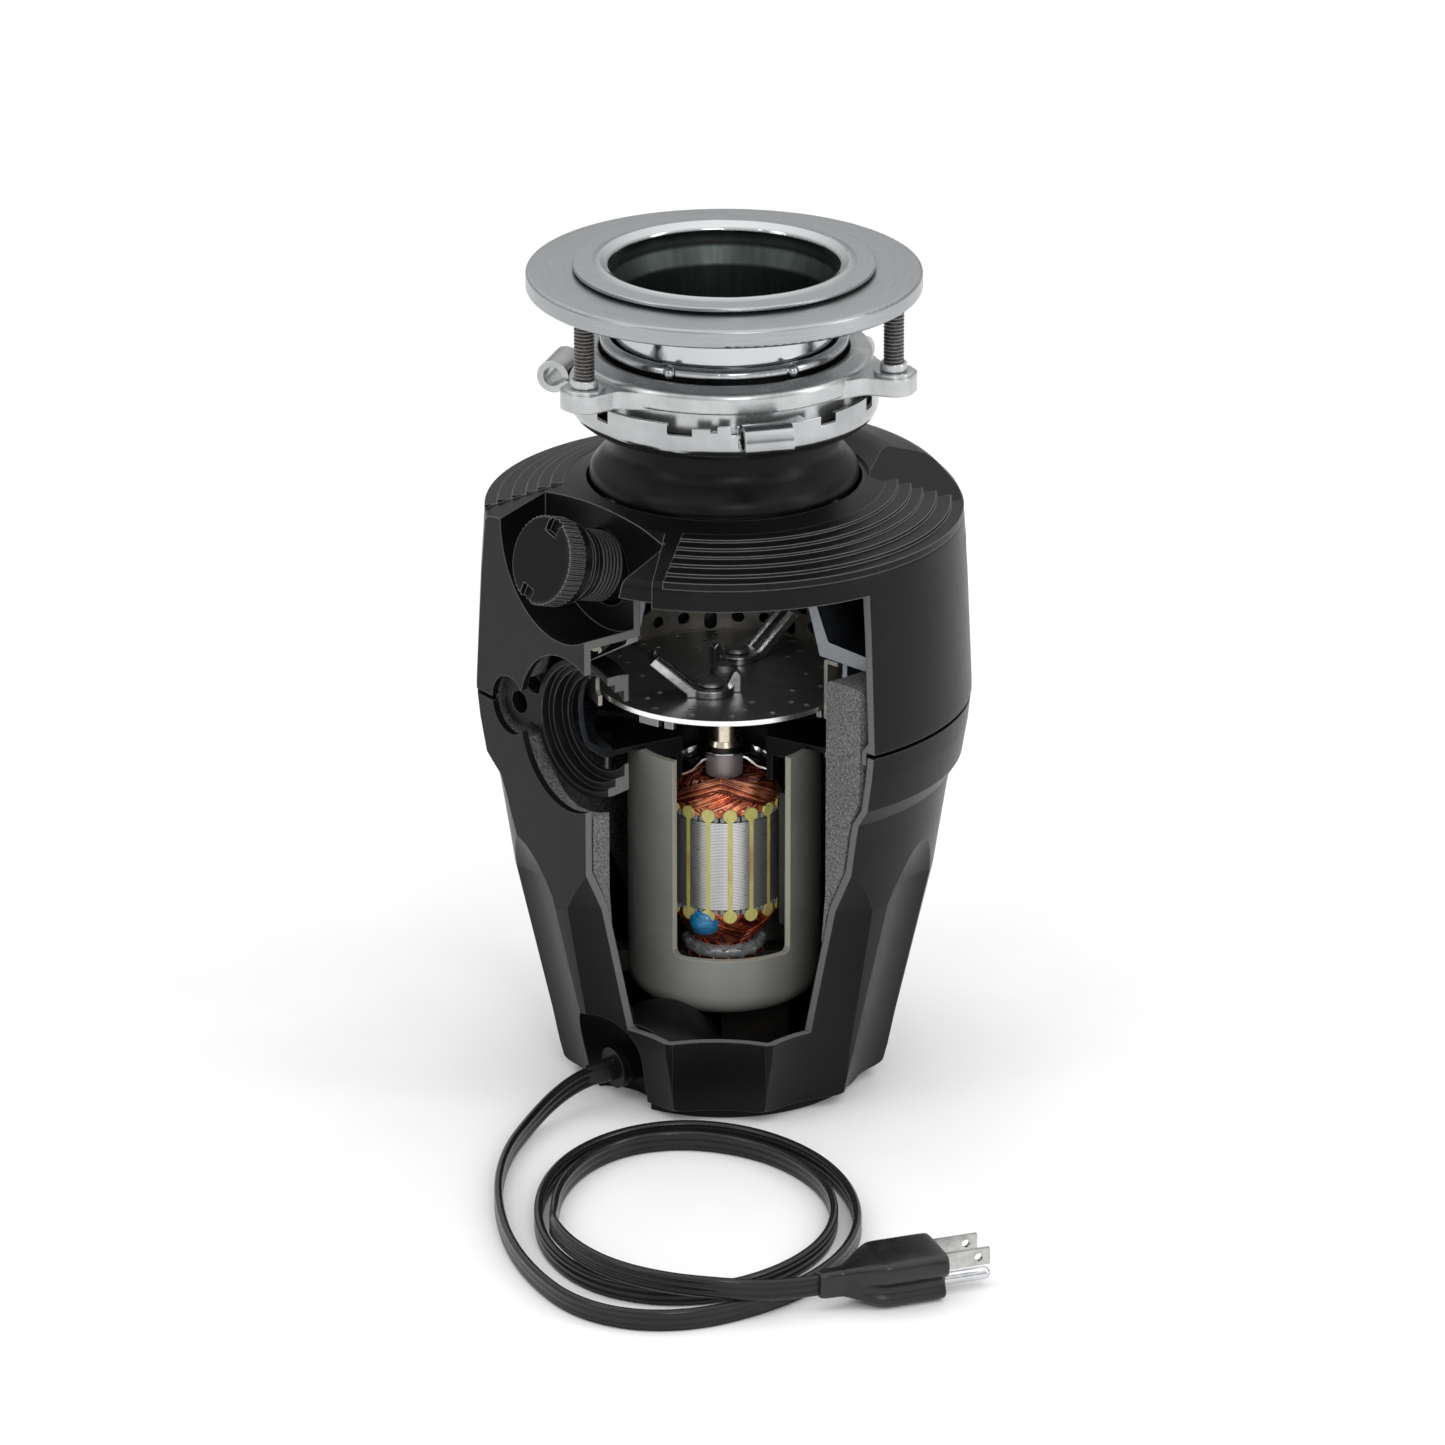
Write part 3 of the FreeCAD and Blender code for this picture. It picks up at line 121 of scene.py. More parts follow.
def add_mesh(name, points, faces, look, body, smooth=True):
    """Mesh piece from points in millimetres, riding on a body."""
    mesh = bpy.data.meshes.new(name)
    mesh.from_pydata([Vector(point) * MM for point in points], [], faces)
    mesh.materials.append(look)
    mesh.polygons.foreach_set("use_smooth", [smooth] * len(mesh.polygons))
    piece = bpy.data.objects.new(name, mesh)
    bpy.context.scene.collection.objects.link(piece)
    tidy = bmesh.new()
    tidy.from_mesh(mesh)
    bmesh.ops.recalc_face_normals(tidy, faces=tidy.faces)
    tidy.to_mesh(mesh)
    tidy.free()
    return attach(piece, body)


def loft(sections, closed=False):
    """Points and faces of a skin over equal rings of points, with its ends capped unless closed."""
    count = len(sections[0])
    points = [point for section in sections for point in section]
    faces = []
    last = len(sections) if closed else len(sections) - 1
    for row in range(last):
        for index in range(count):
            here = row * count
            there = ((row + 1) % len(sections)) * count
            step = (index + 1) % count
            faces.append((here + index, here + step, there + step, there + index))
    if not closed:
        faces.append(tuple(range(count)))
        faces.append(tuple(range((len(sections) - 1) * count, len(sections) * count)))
    return points, faces


def merged(parts):
    """Points and faces of several meshes as one."""
    points = []
    faces = []
    for part_points, part_faces in parts:
        offset = len(points)
        points += part_points
        faces += [tuple(index + offset for index in face) for face in part_faces]
    return points, faces


def round_block(centre, along, side, up, size, corner):
    """Block with chamfered long edges, from its centre and three directions."""
    half = [length / 2 for length in size]
    outline = []
    for sign_side, sign_up in ((1, 1), (-1, 1), (-1, -1), (1, -1)):
        near = (sign_side * half[1], sign_up * (half[2] - corner))
        far = (sign_side * (half[1] - corner), sign_up * half[2])
        outline += [near, far] if sign_side * sign_up > 0 else [far, near]
    sections = []
    ends = ((-half[0], corner), (-half[0] + corner, 0), (half[0] - corner, 0), (half[0], corner))
    for reach, shrink in ends:
        ring = []
        for across, height in outline:
            scale_side = (half[1] - shrink) / half[1]
            scale_up = (half[2] - shrink) / half[2]
            ring.append(centre + along * reach + side * across * scale_side + up * height * scale_up)
        sections.append(ring)
    return loft(sections)


# ---------------------------------------------------------------- materials
class Look:
    """A procedural material: each helper adds nodes and returns the socket they end in."""

    def __init__(self, name, metallic=0.0, **constants):
        self.material = bpy.data.materials.new(name)
        self.material.use_nodes = True
        self.tree = self.material.node_tree
        self.shader = self.tree.nodes["Principled BSDF"]
        self.shader.inputs["Metallic"].default_value = metallic
        for socket, value in constants.items():
            self.shader.inputs[socket.replace("_", " ")].default_value = value
        coordinates = self.tree.nodes.new("ShaderNodeTexCoord")
        self.facing = coordinates.outputs["Normal"]
        self.place = self.node("ShaderNodeVectorMath", {0: coordinates.outputs["Object"], 3: 1000.0},
                               operation="SCALE")

    def node(self, kind, inputs, output=0, **settings):
        made = self.tree.nodes.new(kind)
        for name, value in settings.items():
            setattr(made, name, value)
        for key, value in inputs.items():
            self.feed(made.inputs[key], value)
        return made.outputs[output]

    def feed(self, socket, value):
        if isinstance(value, bpy.types.NodeSocket):
            self.tree.links.new(value, socket)
        else:
            socket.default_value = value

    def calc(self, operation, first, second=0.0):
        return self.node("ShaderNodeMath", {0: first, 1: second}, operation=operation)

    def noise(self, scale, detail=3.0, place=None, roughness=0.55, distortion=0.0):
        """Noise whose features are about 1 / scale millimetres across."""
        inputs = {"Vector": place or self.place, "Scale": scale, "Detail": detail}
        return self.node("ShaderNodeTexNoise", {**inputs, "Roughness": roughness, "Distortion": distortion})

    def cells(self, scale, place=None):
        return self.node("ShaderNodeTexVoronoi", {"Vector": place or self.place, "Scale": scale})

    def spread(self, value, low, high, to_low=0.0, to_high=1.0):
        """Value carried from one range to another, clamped."""
        return self.node("ShaderNodeMapRange", {0: value, 1: low, 2: high, 3: to_low, 4: to_high})

    def mix(self, factor, first, second):
        def colour(value):
            return value if isinstance(value, bpy.types.NodeSocket) else (*value, 1.0)
        inputs = {0: factor, 6: colour(first), 7: colour(second)}
        return self.node("ShaderNodeMix", inputs, 2, data_type="RGBA")

    def blend(self, factor, first, second):
        """Number between two numbers."""
        return self.node("ShaderNodeMix", {0: factor, 2: first, 3: second}, data_type="FLOAT")

    def split(self):
        """X, Y and Z sockets in millimetres."""
        parts = self.tree.nodes.new("ShaderNodeSeparateXYZ")
        self.tree.links.new(self.place, parts.inputs[0])
        return parts.outputs[0], parts.outputs[1], parts.outputs[2]

    def ring_place(self, per_radian, per_mm_out, per_mm_up):
        """Coordinates that follow the object's axis: angle, radius and height, each at its own scale."""
        x, y, z = self.split()
        angle = self.calc("ARCTAN2", x, y)
        radius = self.radius()
        return self.node("ShaderNodeCombineXYZ", {0: self.calc("MULTIPLY", angle, per_radian),
                                                  1: self.calc("MULTIPLY", radius, per_mm_out),
                                                  2: self.calc("MULTIPLY", z, per_mm_up)})

    def radius(self):
        x, y, _ = self.split()
        flat = self.node("ShaderNodeCombineXYZ", {0: x, 1: y, 2: 0.0})
        return self.node("ShaderNodeVectorMath", {0: flat}, "Value", operation="LENGTH")

    def on_plane(self, point, normal, reach=0.12):
        """1 on faces that lie in a plane, and 0 elsewhere."""
        away = self.node("ShaderNodeVectorMath", {0: self.place, 1: point}, operation="SUBTRACT")
        distance = self.node("ShaderNodeVectorMath", {0: away, 1: normal}, "Value", operation="DOT_PRODUCT")
        near = self.calc("LESS_THAN", self.calc("ABSOLUTE", distance), reach)
        sides = {0: self.facing, 1: normal}
        turn = self.node("ShaderNodeVectorMath", sides, "Value", operation="DOT_PRODUCT")
        return self.calc("MULTIPLY", near, self.calc("GREATER_THAN", self.calc("ABSOLUTE", turn), 0.97))

    def on_cuts(self, planes):
        found = None
        for point, normal in planes:
            mask = self.on_plane(point, normal)
            found = self.calc("MAXIMUM", found, mask) if found else mask
        return found

    def edges(self, radius):
        """1 along sharp edges, and 0 on open faces."""
        rounded = self.node("ShaderNodeBevel", {"Radius": radius * MM}, samples=4)
        flat = self.node("ShaderNodeNewGeometry", {}, "Normal")
        turn = self.node("ShaderNodeVectorMath", {0: rounded, 1: flat}, "Value", operation="DOT_PRODUCT")
        return self.spread(turn, 0.995, 0.9)

    def rounded_normal(self, radius):
        return self.node("ShaderNodeBevel", {"Radius": radius * MM}, samples=4)

    def finish(self, colour, roughness, height=None, depth=0.1, soften=None, strength=1.0):
        """Connect colour, roughness, and a bump of that depth in millimetres."""
        self.feed(self.shader.inputs["Base Color"], colour if isinstance(colour, bpy.types.NodeSocket)
                  else (*colour, 1.0))
        self.feed(self.shader.inputs["Roughness"], roughness)
        normal = self.rounded_normal(soften) if soften else None
        if height:
            inputs = {"Height": height, "Distance": depth * MM, "Strength": strength}
            if normal:
                inputs["Normal"] = normal
            normal = self.node("ShaderNodeBump", inputs)
        if normal:
            self.tree.links.new(normal, self.shader.inputs["Normal"])
        return self.material


def upright_plane(azimuth, apex=(0.0, 0.0)):
    """Upright plane through an apex that runs out at an azimuth, as a point and a normal."""
    angle = math.radians(azimuth)
    return (apex[0], apex[1], 0.0), (math.cos(angle), math.sin(angle), 0.0)


def level_plane(z):
    return (0.0, 0.0, z), (0.0, 0.0, 1.0)


WINDOW_PLANES = [upright_plane(CUT_LEFT, CUT_APEX), upright_plane(CUT_RIGHT, CUT_APEX),
                 level_plane(WINDOW_TOP), level_plane(WINDOW_BOTTOM)]
HOPPER_PLANES = [upright_plane(-42.0), upright_plane(45.0), level_plane(WINDOW_TOP)]
BOWL_PLANES = [upright_plane(50.0), upright_plane(308.0)]


def brushed_steel():
    """Turned steel with fine rings round the axis."""
    look = Look("brushed_steel_look", 1.0)
    fine = look.noise(1.0, 4.0, look.ring_place(5.0, 9.0, 9.0))
    broad = look.noise(0.03, 2.0)
    tone = look.spread(fine, 0.3, 0.7, 0.0, 1.0)
    colour = look.mix(tone, (0.300, 0.315, 0.325), (0.440, 0.455, 0.462))
    wear = look.spread(broad, 0.3, 0.7, -0.03, 0.03)
    rough = look.calc("ADD", look.spread(fine, 0.3, 0.7, 0.26, 0.38), wear)
    return look.finish(colour, rough, fine, 0.012, 0.5)


def flange_steel():
    """Sink flange: brushed outer face, polished lip and tube, and painted shade inside the tube, darker
    further down and streaked upright.
    """
    look = Look("flange_steel_look", 1.0)
    x, y, z = look.split()
    fine = look.noise(1.0, 4.0, look.ring_place(7.0, 12.0, 6.0))
    lip = look.spread(look.radius(), 47.6, 49.0, 1.0, 0.0)
    smudge = look.spread(look.noise(0.08, 4.0), 0.4, 0.7, 0.0, 0.05)
    brushed = look.mix(look.spread(fine, 0.3, 0.7), (0.320, 0.335, 0.345), (0.450, 0.465, 0.475))
    colour = look.mix(lip, brushed, (0.52, 0.53, 0.54))
    flat = look.node("ShaderNodeCombineXYZ", {0: x, 1: y, 2: 0.0})
    turn = look.node("ShaderNodeVectorMath", {0: flat, 1: look.facing}, "Value", operation="DOT_PRODUCT")
    # Painted shade: the tube's inward faces are darkened, fully below 321 mm and fading out by 325.5 mm, with
    # faint upright streaks.
    painted_shade_inside = look.calc("MULTIPLY", look.calc("LESS_THAN", turn, -1.0), look.spread(z, 321.0, 325.5, 1.0, 0.0))
    streak = look.noise(1.0, 3.0, look.ring_place(14.0, 0.2, 0.05))
    painted_shade_colour = look.mix(look.spread(streak, 0.3, 0.7), (0.055, 0.066, 0.062), (0.078, 0.092, 0.087))
    colour = look.mix(painted_shade_inside, colour, painted_shade_colour)
    rough = look.calc("ADD", look.blend(lip, look.spread(fine, 0.3, 0.7, 0.24, 0.34), 0.12), smudge)
    rough = look.blend(painted_shade_inside, rough, 0.42)
    height = look.calc("MULTIPLY", fine, look.calc("SUBTRACT", 1.0, lip))
    return look.finish(colour, rough, height, 0.01, 0.35)


def polished_steel():
    look = Look("polished_steel_look", 1.0)
    drawn = look.noise(1.0, 3.0, look.ring_place(60.0, 0.2, 0.1))
    smudge = look.noise(0.12, 4.0)
    colour = look.mix(look.spread(drawn, 0.3, 0.7), (0.33, 0.34, 0.35), (0.46, 0.47, 0.48))
    rough = look.spread(smudge, 0.35, 0.7, 0.12, 0.22)
    return look.finish(colour, rough, drawn, 0.01, 0.3)


def stamped_steel():
    """Pressed sheet: satin, with faint draw marks and lightened edges, partly worn and partly a painted
    highlight.
    """
    look = Look("stamped_steel_look", 1.0)
    draw = look.noise(1.0, 3.0, look.ring_place(3.0, 1.5, 5.0))
    patch = look.noise(0.08, 2.0)
    edge = look.edges(0.4)
    base = look.mix(look.spread(patch, 0.3, 0.7), (0.36, 0.37, 0.375), (0.46, 0.47, 0.475))
    # Edges lightened towards pale grey: partly wear, partly a painted highlight.
    colour = look.mix(look.calc("MULTIPLY", edge, 0.8), base, (0.85, 0.85, 0.85))
    rough = look.calc("ADD", look.spread(draw, 0.3, 0.7, 0.13, 0.19), look.spread(patch, 0.4, 0.7, 0.0, 0.04))
    return look.finish(colour, rough, draw, 0.006, 0.35)


def cast_metal():
    """Bead-blasted casting with a fine even grain."""
    look = Look("cast_metal_look", 0.9)
    grain = look.noise(5.0, 3.0)
    lumps = look.noise(0.12, 2.0)
    edge = look.edges(0.7)
    base = look.mix(look.spread(lumps, 0.3, 0.7), (0.44, 0.45, 0.455), (0.54, 0.55, 0.555))
    # Edges lightened towards pale grey: partly wear, partly a painted highlight.
    colour = look.mix(look.calc("MULTIPLY", edge, 0.6), base, (0.70, 0.70, 0.70))
    return look.finish(colour, look.spread(grain, 0.3, 0.7, 0.23, 0.31), grain, 0.015, 0.9)


def dark_steel():
    look = Look("dark_steel_look", 0.95)
    grime = look.noise(0.9, 4.0)
    edge = look.edges(0.18)
    base = look.mix(look.spread(grime, 0.35, 0.7), (0.10, 0.095, 0.09), (0.22, 0.21, 0.20))
    # Edges lightened towards mid grey: partly wear, partly a painted highlight.
    colour = look.mix(look.calc("MULTIPLY", edge, 0.7), base, (0.5, 0.49, 0.47))
    return look.finish(colour, look.spread(grime, 0.3, 0.7, 0.32, 0.5), grime, 0.02)


def black_shell(name="black_shell_look", planes=None, gloss=0.0):
    """Moulded black plastic: fine grain, faint scuffs, painted highlights along its edges that grow stronger
    higher up, and bare grey where it is cut.
    """
    look = Look(name, Specular_IOR_Level=0.14)
    grain = look.noise(3.2, 2.0)
    broad = look.noise(0.02, 3.0)
    scuff = look.noise(1.0, 5.0, look.node("ShaderNodeVectorMath", {0: look.place, 1: (0.9, 0.9, 0.07)},
                                           operation="MULTIPLY"))
    edge = look.edges(0.6)
    colour = look.mix(look.spread(broad, 0.35, 0.65), (0.0035, 0.0035, 0.0038), (0.0060, 0.0060, 0.0062))
    colour = look.mix(look.spread(scuff, 0.62, 0.85, 0.0, 0.25), colour, (0.014, 0.014, 0.0135))
    # Painted highlight: sharp edges are lightened towards grey, faintly below 150 mm and strongly above 185
    # mm.
    painted_edge_highlight = look.calc("MULTIPLY", edge, look.spread(look.split()[2], 150.0, 185.0, 0.25, 0.9))
    colour = look.mix(painted_edge_highlight, colour, (0.24, 0.24, 0.24))
    rough = look.calc("ADD", look.spread(grain, 0.3, 0.7, 0.30 - gloss, 0.38 - gloss),
                      look.spread(scuff, 0.5, 0.8, 0.0, 0.08))
    if planes:
        bare = look.on_cuts(planes)
        dust = look.spread(look.noise(1.6, 3.0), 0.3, 0.7)
        colour = look.mix(bare, colour, look.mix(dust, (0.115, 0.115, 0.112), (0.150, 0.150, 0.146)))
        rough = look.blend(bare, rough, 0.55)
    return look.finish(colour, rough, grain, 0.02, 0.7)


def chamber_plastic(name, planes):
    """Glossy dark moulding of the grinding chamber, pale where its outer parts are cut."""
    look = Look(name, Coat_Weight=0.3, Coat_Roughness=0.12)
    broad = look.noise(0.05, 3.0)
    bare = look.calc("MULTIPLY", look.on_cuts(planes), look.calc("GREATER_THAN", look.radius(), 30.0))
    dust = look.spread(look.noise(1.2, 3.0), 0.3, 0.7)
    colour = look.mix(look.spread(broad, 0.3, 0.7), (0.020, 0.023, 0.027), (0.032, 0.036, 0.041))
    colour = look.mix(bare, colour, look.mix(dust, (0.27, 0.29, 0.31), (0.36, 0.38, 0.40)))
    rough = look.blend(bare, look.spread(broad, 0.3, 0.7, 0.18, 0.30), 0.5)
    return look.finish(colour, rough, look.noise(1.1, 2.0), 0.03, 0.5)


def rubber():
    look = Look("rubber_look", Specular_IOR_Level=0.14)
    bloom = look.noise(0.12, 4.0)
    colour = look.mix(look.spread(bloom, 0.4, 0.75), (0.0035, 0.0035, 0.0036), (0.0070, 0.0070, 0.0075))
    return look.finish(colour, look.spread(bloom, 0.3, 0.7, 0.28, 0.42), look.noise(1.5, 3.0), 0.03, 0.8)


def foam():
    """Open-cell foam: grey, with light and dark specks and a pitted surface."""
    look = Look("foam_look", Sheen_Weight=0.15)
    pores = look.cells(1.5)
    grain = look.noise(1.2, 4.0, roughness=0.85)
    broad = look.noise(0.06, 3.0)
    colour = look.mix(look.spread(grain, 0.40, 0.62), (0.015, 0.015, 0.015), (0.30, 0.30, 0.295))
    colour = look.mix(look.spread(broad, 0.35, 0.7, 0.0, 0.35), colour, (0.10, 0.10, 0.10))
    height = look.calc("ADD", look.spread(pores, 0.0, 0.6), grain)
    return look.finish(colour, 0.9, height, 0.5)


def shredder_steel():
    """Warm-toned plated steel with water stains."""
    look = Look("shredder_steel_look", 0.85)
    stain = look.noise(0.22, 5.0, distortion=0.6)
    edge = look.edges(0.45)
    colour = look.mix(look.spread(stain, 0.35, 0.65), (0.34, 0.32, 0.27), (0.45, 0.43, 0.38))
    # Edges lightened towards pale warm grey: partly wear, partly a painted highlight.
    colour = look.mix(look.calc("MULTIPLY", edge, 0.6), colour, (0.9, 0.88, 0.82))
    return look.finish(colour, look.spread(stain, 0.3, 0.7, 0.38, 0.5), look.noise(2.0, 3.0), 0.03, 0.3)


def table_steel():
    """Turntable: satin grey plate, bright rim, and bright edges at its holes, partly worn and partly a
    painted highlight.
    """
    look = Look("table_steel_look", 1.0)
    swirl = look.noise(1.0, 5.0, look.ring_place(4.0, 2.2, 1.0))
    wipe = look.noise(0.04, 3.0, distortion=0.8)
    rim = look.spread(look.radius(), 48.95, 49.2)
    edge = look.edges(0.4)
    colour = look.mix(look.spread(wipe, 0.3, 0.7), (0.20, 0.20, 0.205), (0.29, 0.29, 0.30))
    # Near-white on the thin rim band, and on sharp edges as part wear, part painted highlight.
    bright = look.calc("MAXIMUM", rim, look.calc("MULTIPLY", edge, 0.85))
    colour = look.mix(bright, colour, (0.95, 0.95, 0.93))
    rough = look.blend(rim, look.spread(swirl, 0.3, 0.7, 0.38, 0.50), 0.3)
    return look.finish(colour, rough, swirl, 0.008, 0.25)


def impeller_steel():
    """Cast stainless, tumbled smooth, with a rolling unevenness."""
    look = Look("impeller_steel_look", 1.0)
    roll = look.noise(0.25, 2.0)
    pits = look.noise(2.5, 3.0)
    edge = look.edges(0.6)
    colour = look.mix(look.spread(roll, 0.3, 0.7), (0.40, 0.40, 0.41), (0.55, 0.55, 0.56))
    # Edges lightened towards near white: partly wear, partly a painted highlight.
    colour = look.mix(look.calc("MULTIPLY", edge, 0.8), colour, (0.95, 0.95, 0.95))
    height = look.calc("ADD", roll, look.calc("MULTIPLY", pits, 0.06))
    return look.finish(colour, look.spread(pits, 0.3, 0.7, 0.20, 0.28), height, 0.15, 0.8)


def turned_metal(name, dark, light, low_rough, high_rough, soften=0.25):
    """Lathe-turned metal with fine tool marks."""
    look = Look(name, 1.0)
    marks = look.noise(1.0, 3.0, look.ring_place(2.0, 5.0, 7.0))
    patch = look.noise(0.3, 3.0)
    colour = look.mix(look.spread(patch, 0.35, 0.65), dark, light)
    return look.finish(colour, look.spread(marks, 0.3, 0.7, low_rough, high_rough), marks, 0.012, soften)


def sintered():
    look = Look("sintered_look", 0.55)
    pores = look.noise(4.0, 4.0)
    colour = look.mix(look.spread(pores, 0.35, 0.65), (0.26, 0.23, 0.235), (0.42, 0.385, 0.39))
    return look.finish(colour, look.spread(pores, 0.3, 0.7, 0.38, 0.55), pores, 0.03, 0.4)


def can_paint():
    """Olive-grey painted can: satin, with a pale bare edge round its window."""
    look = Look("can_paint_look")
    x, y, z = look.split()
    peel = look.noise(1.3, 3.0)
    broad = look.noise(0.04, 3.0)
    bare = look.on_cuts([((0.0, 0.0, 58.0), (0.0, 0.0, 1.0)), level_plane(138.0)])
    for side_x, side_y in ((-18.6, -30.0), (27.6, -30.0)):
        length = math.hypot(side_x, side_y)
        side = look.on_plane((0.0, 0.0, 0.0), (side_y / length, -side_x / length, 0.0), 0.3)
        bare = look.calc("MAXIMUM", bare, side)
    edge = look.calc("MULTIPLY", look.edges(0.6), look.calc("LESS_THAN", y, 0.0))
    bare = look.calc("MAXIMUM", bare, look.calc("MULTIPLY", edge, 0.8))
    colour = look.mix(look.spread(broad, 0.3, 0.7), (0.215, 0.220, 0.200), (0.260, 0.266, 0.240))
    colour = look.mix(bare, colour, (0.42, 0.405, 0.35))
    return look.finish(colour, look.spread(peel, 0.3, 0.7, 0.36, 0.46), peel, 0.03, 0.5)


def ferrite():
    look = Look("ferrite_look", 0.1)
    grain = look.noise(2.2, 4.0)
    colour = look.mix(look.spread(grain, 0.35, 0.65), (0.018, 0.018, 0.020), (0.045, 0.045, 0.048))
    return look.finish(colour, look.spread(grain, 0.3, 0.7, 0.45, 0.65), grain, 0.08, 0.4)


def laminations():
    """Stacked core plates: a fine level line for each plate, and a sheen that changes from tooth to tooth."""
    look = Look("laminations_look", 0.9)
    x, y, z = look.split()
    plate = look.calc("SINE", look.calc("MULTIPLY", z, 2.0 * math.pi / 0.62))
    streak = look.noise(1.0, 4.0, look.ring_place(7.0, 0.0, 1.4))
    tooth = look.noise(1.0, 1.0, look.ring_place(2.4, 0.0, 0.0))
    line = look.spread(plate, -0.9, 0.1)
    colour = look.mix(look.spread(streak, 0.3, 0.7), (0.86, 0.85, 0.84), (0.98, 0.965, 0.95))
    colour = look.mix(look.spread(tooth, 0.4, 0.65, 0.0, 0.35), colour, (0.50, 0.50, 0.51))
    colour = look.mix(line, (0.32, 0.32, 0.32), colour)
    return look.finish(colour, look.spread(streak, 0.3, 0.7, 0.26, 0.40), line, 0.05)


def slot_paper():
    """Varnished yellow paper, browned here and there."""
    look = Look("slot_paper_look", Coat_Weight=0.25, Coat_Roughness=0.3)
    fibre = look.noise(1.0, 4.0, look.ring_place(20.0, 1.0, 0.25))
    burnt = look.noise(1.0, 2.0, look.ring_place(2.1, 0.0, 0.04))
    colour = look.mix(look.spread(fibre, 0.3, 0.7), (0.56, 0.50, 0.13), (0.72, 0.67, 0.24))
    colour = look.mix(look.spread(burnt, 0.54, 0.68, 0.0, 0.75), colour, (0.50, 0.25, 0.09))
    return look.finish(colour, 0.42, fibre, 0.06, 0.3)


def copper_wire(name, dark, light):
    """Enamelled copper, with soft darker patches."""
    look = Look(name, 0.85, Coat_Weight=0.5, Coat_Roughness=0.12)
    strand = look.noise(0.25, 2.0)
    patch = look.noise(0.11, 2.0)
    colour = look.mix(look.spread(strand, 0.32, 0.68), dark, light)
    colour = look.mix(look.spread(patch, 0.5, 0.75, 0.0, 0.35), colour, (0.20, 0.035, 0.02))
    return look.finish(colour, look.spread(strand, 0.3, 0.7, 0.24, 0.34), look.noise(0.5, 2.0), 0.01)


def varnish():
    """Blue sealing varnish that has soaked into the wires."""
    look = Look("varnish_look", Coat_Weight=0.6, Coat_Roughness=0.1)
    strands = look.noise(1.0, 3.0, look.node("ShaderNodeVectorMath", {0: look.place, 1: (0.35, 0.6, 2.2)},
                                            operation="MULTIPLY"))
    colour = look.mix(look.spread(strands, 0.35, 0.7), (0.002, 0.09, 0.26), (0.03, 0.33, 0.62))
    return look.finish(colour, 0.3, strands, 0.5)


def commutator_metal():
    """Copper bars below, browned by the brushes, with grey sealing compound over the risers above."""
    look = Look("commutator_look")
    x, y, z = look.split()
    track = look.noise(1.0, 4.0, look.ring_place(1.0, 0.5, 3.0))
    bars = look.mix(look.spread(track, 0.3, 0.7), (0.30, 0.12, 0.06), (0.52, 0.27, 0.15))
    top = look.spread(z, 48.8, 49.6)
    grey = look.mix(look.spread(look.noise(0.35, 4.0), 0.35, 0.7), (0.22, 0.23, 0.24), (0.44, 0.455, 0.47))
    colour = look.mix(top, bars, grey)
    look.feed(look.shader.inputs["Metallic"], look.blend(top, 0.9, 0.1))
    return look.finish(colour, look.blend(top, 0.4, 0.18), look.noise(0.8, 2.0), 0.1, 0.3)


def glaze():
    """Grey glossy sealing compound with drips."""
    look = Look("glaze_look", 0.1, Coat_Weight=0.8, Coat_Roughness=0.06)
    cloud = look.noise(0.35, 4.0)
    colour = look.mix(look.spread(cloud, 0.35, 0.7), (0.22, 0.23, 0.24), (0.44, 0.455, 0.47))
    return look.finish(colour, look.spread(cloud, 0.3, 0.7, 0.16, 0.3), look.noise(0.8, 2.0), 0.25)


def mottled(name, dark, light, rough, metallic=0.0, scale=1.5, depth=0.04):
    """Plain moulded or pressed stuff with a little unevenness."""
    look = Look(name, metallic)
    patch = look.noise(scale, 4.0)
    colour = look.mix(look.spread(patch, 0.35, 0.65), dark, light)
    return look.finish(colour, look.spread(patch, 0.3, 0.7, rough - 0.06, rough + 0.06), patch, depth, 0.3)


def cord_jacket():
    """Black vinyl cord with a soft sheen, and painted shade in the valleys between its lobes."""
    look = Look("cord_jacket_look", Specular_IOR_Level=0.4)
    grain = look.noise(2.0, 3.0)
    dust = look.noise(0.05, 4.0)
    # Painted shade: ambient occlusion darkens the valleys between the lobes to near black.
    open_sky = look.node("ShaderNodeAmbientOcclusion", {"Distance": 2.0 * MM}, "AO", samples=6)
    unshaded_ridge = look.spread(open_sky, 0.62, 0.95)
    colour = look.mix(look.spread(dust, 0.4, 0.75), (0.0060, 0.0062, 0.0062), (0.0110, 0.0115, 0.0115))
    colour = look.mix(unshaded_ridge, (0.0010, 0.0010, 0.0010), colour)
    rough = look.blend(unshaded_ridge, 0.7, look.spread(grain, 0.3, 0.7, 0.22, 0.30))
    return look.finish(colour, rough, grain, 0.02)


def moulded_plug():
    look = Look("moulded_plug_look")
    grain = look.noise(2.4, 3.0)
    shine = look.noise(0.10, 3.0)
    colour = look.mix(look.spread(shine, 0.35, 0.7), (0.0055, 0.0055, 0.0055), (0.0105, 0.0105, 0.0105))
    return look.finish(colour, look.spread(shine, 0.3, 0.7, 0.24, 0.34), grain, 0.02)


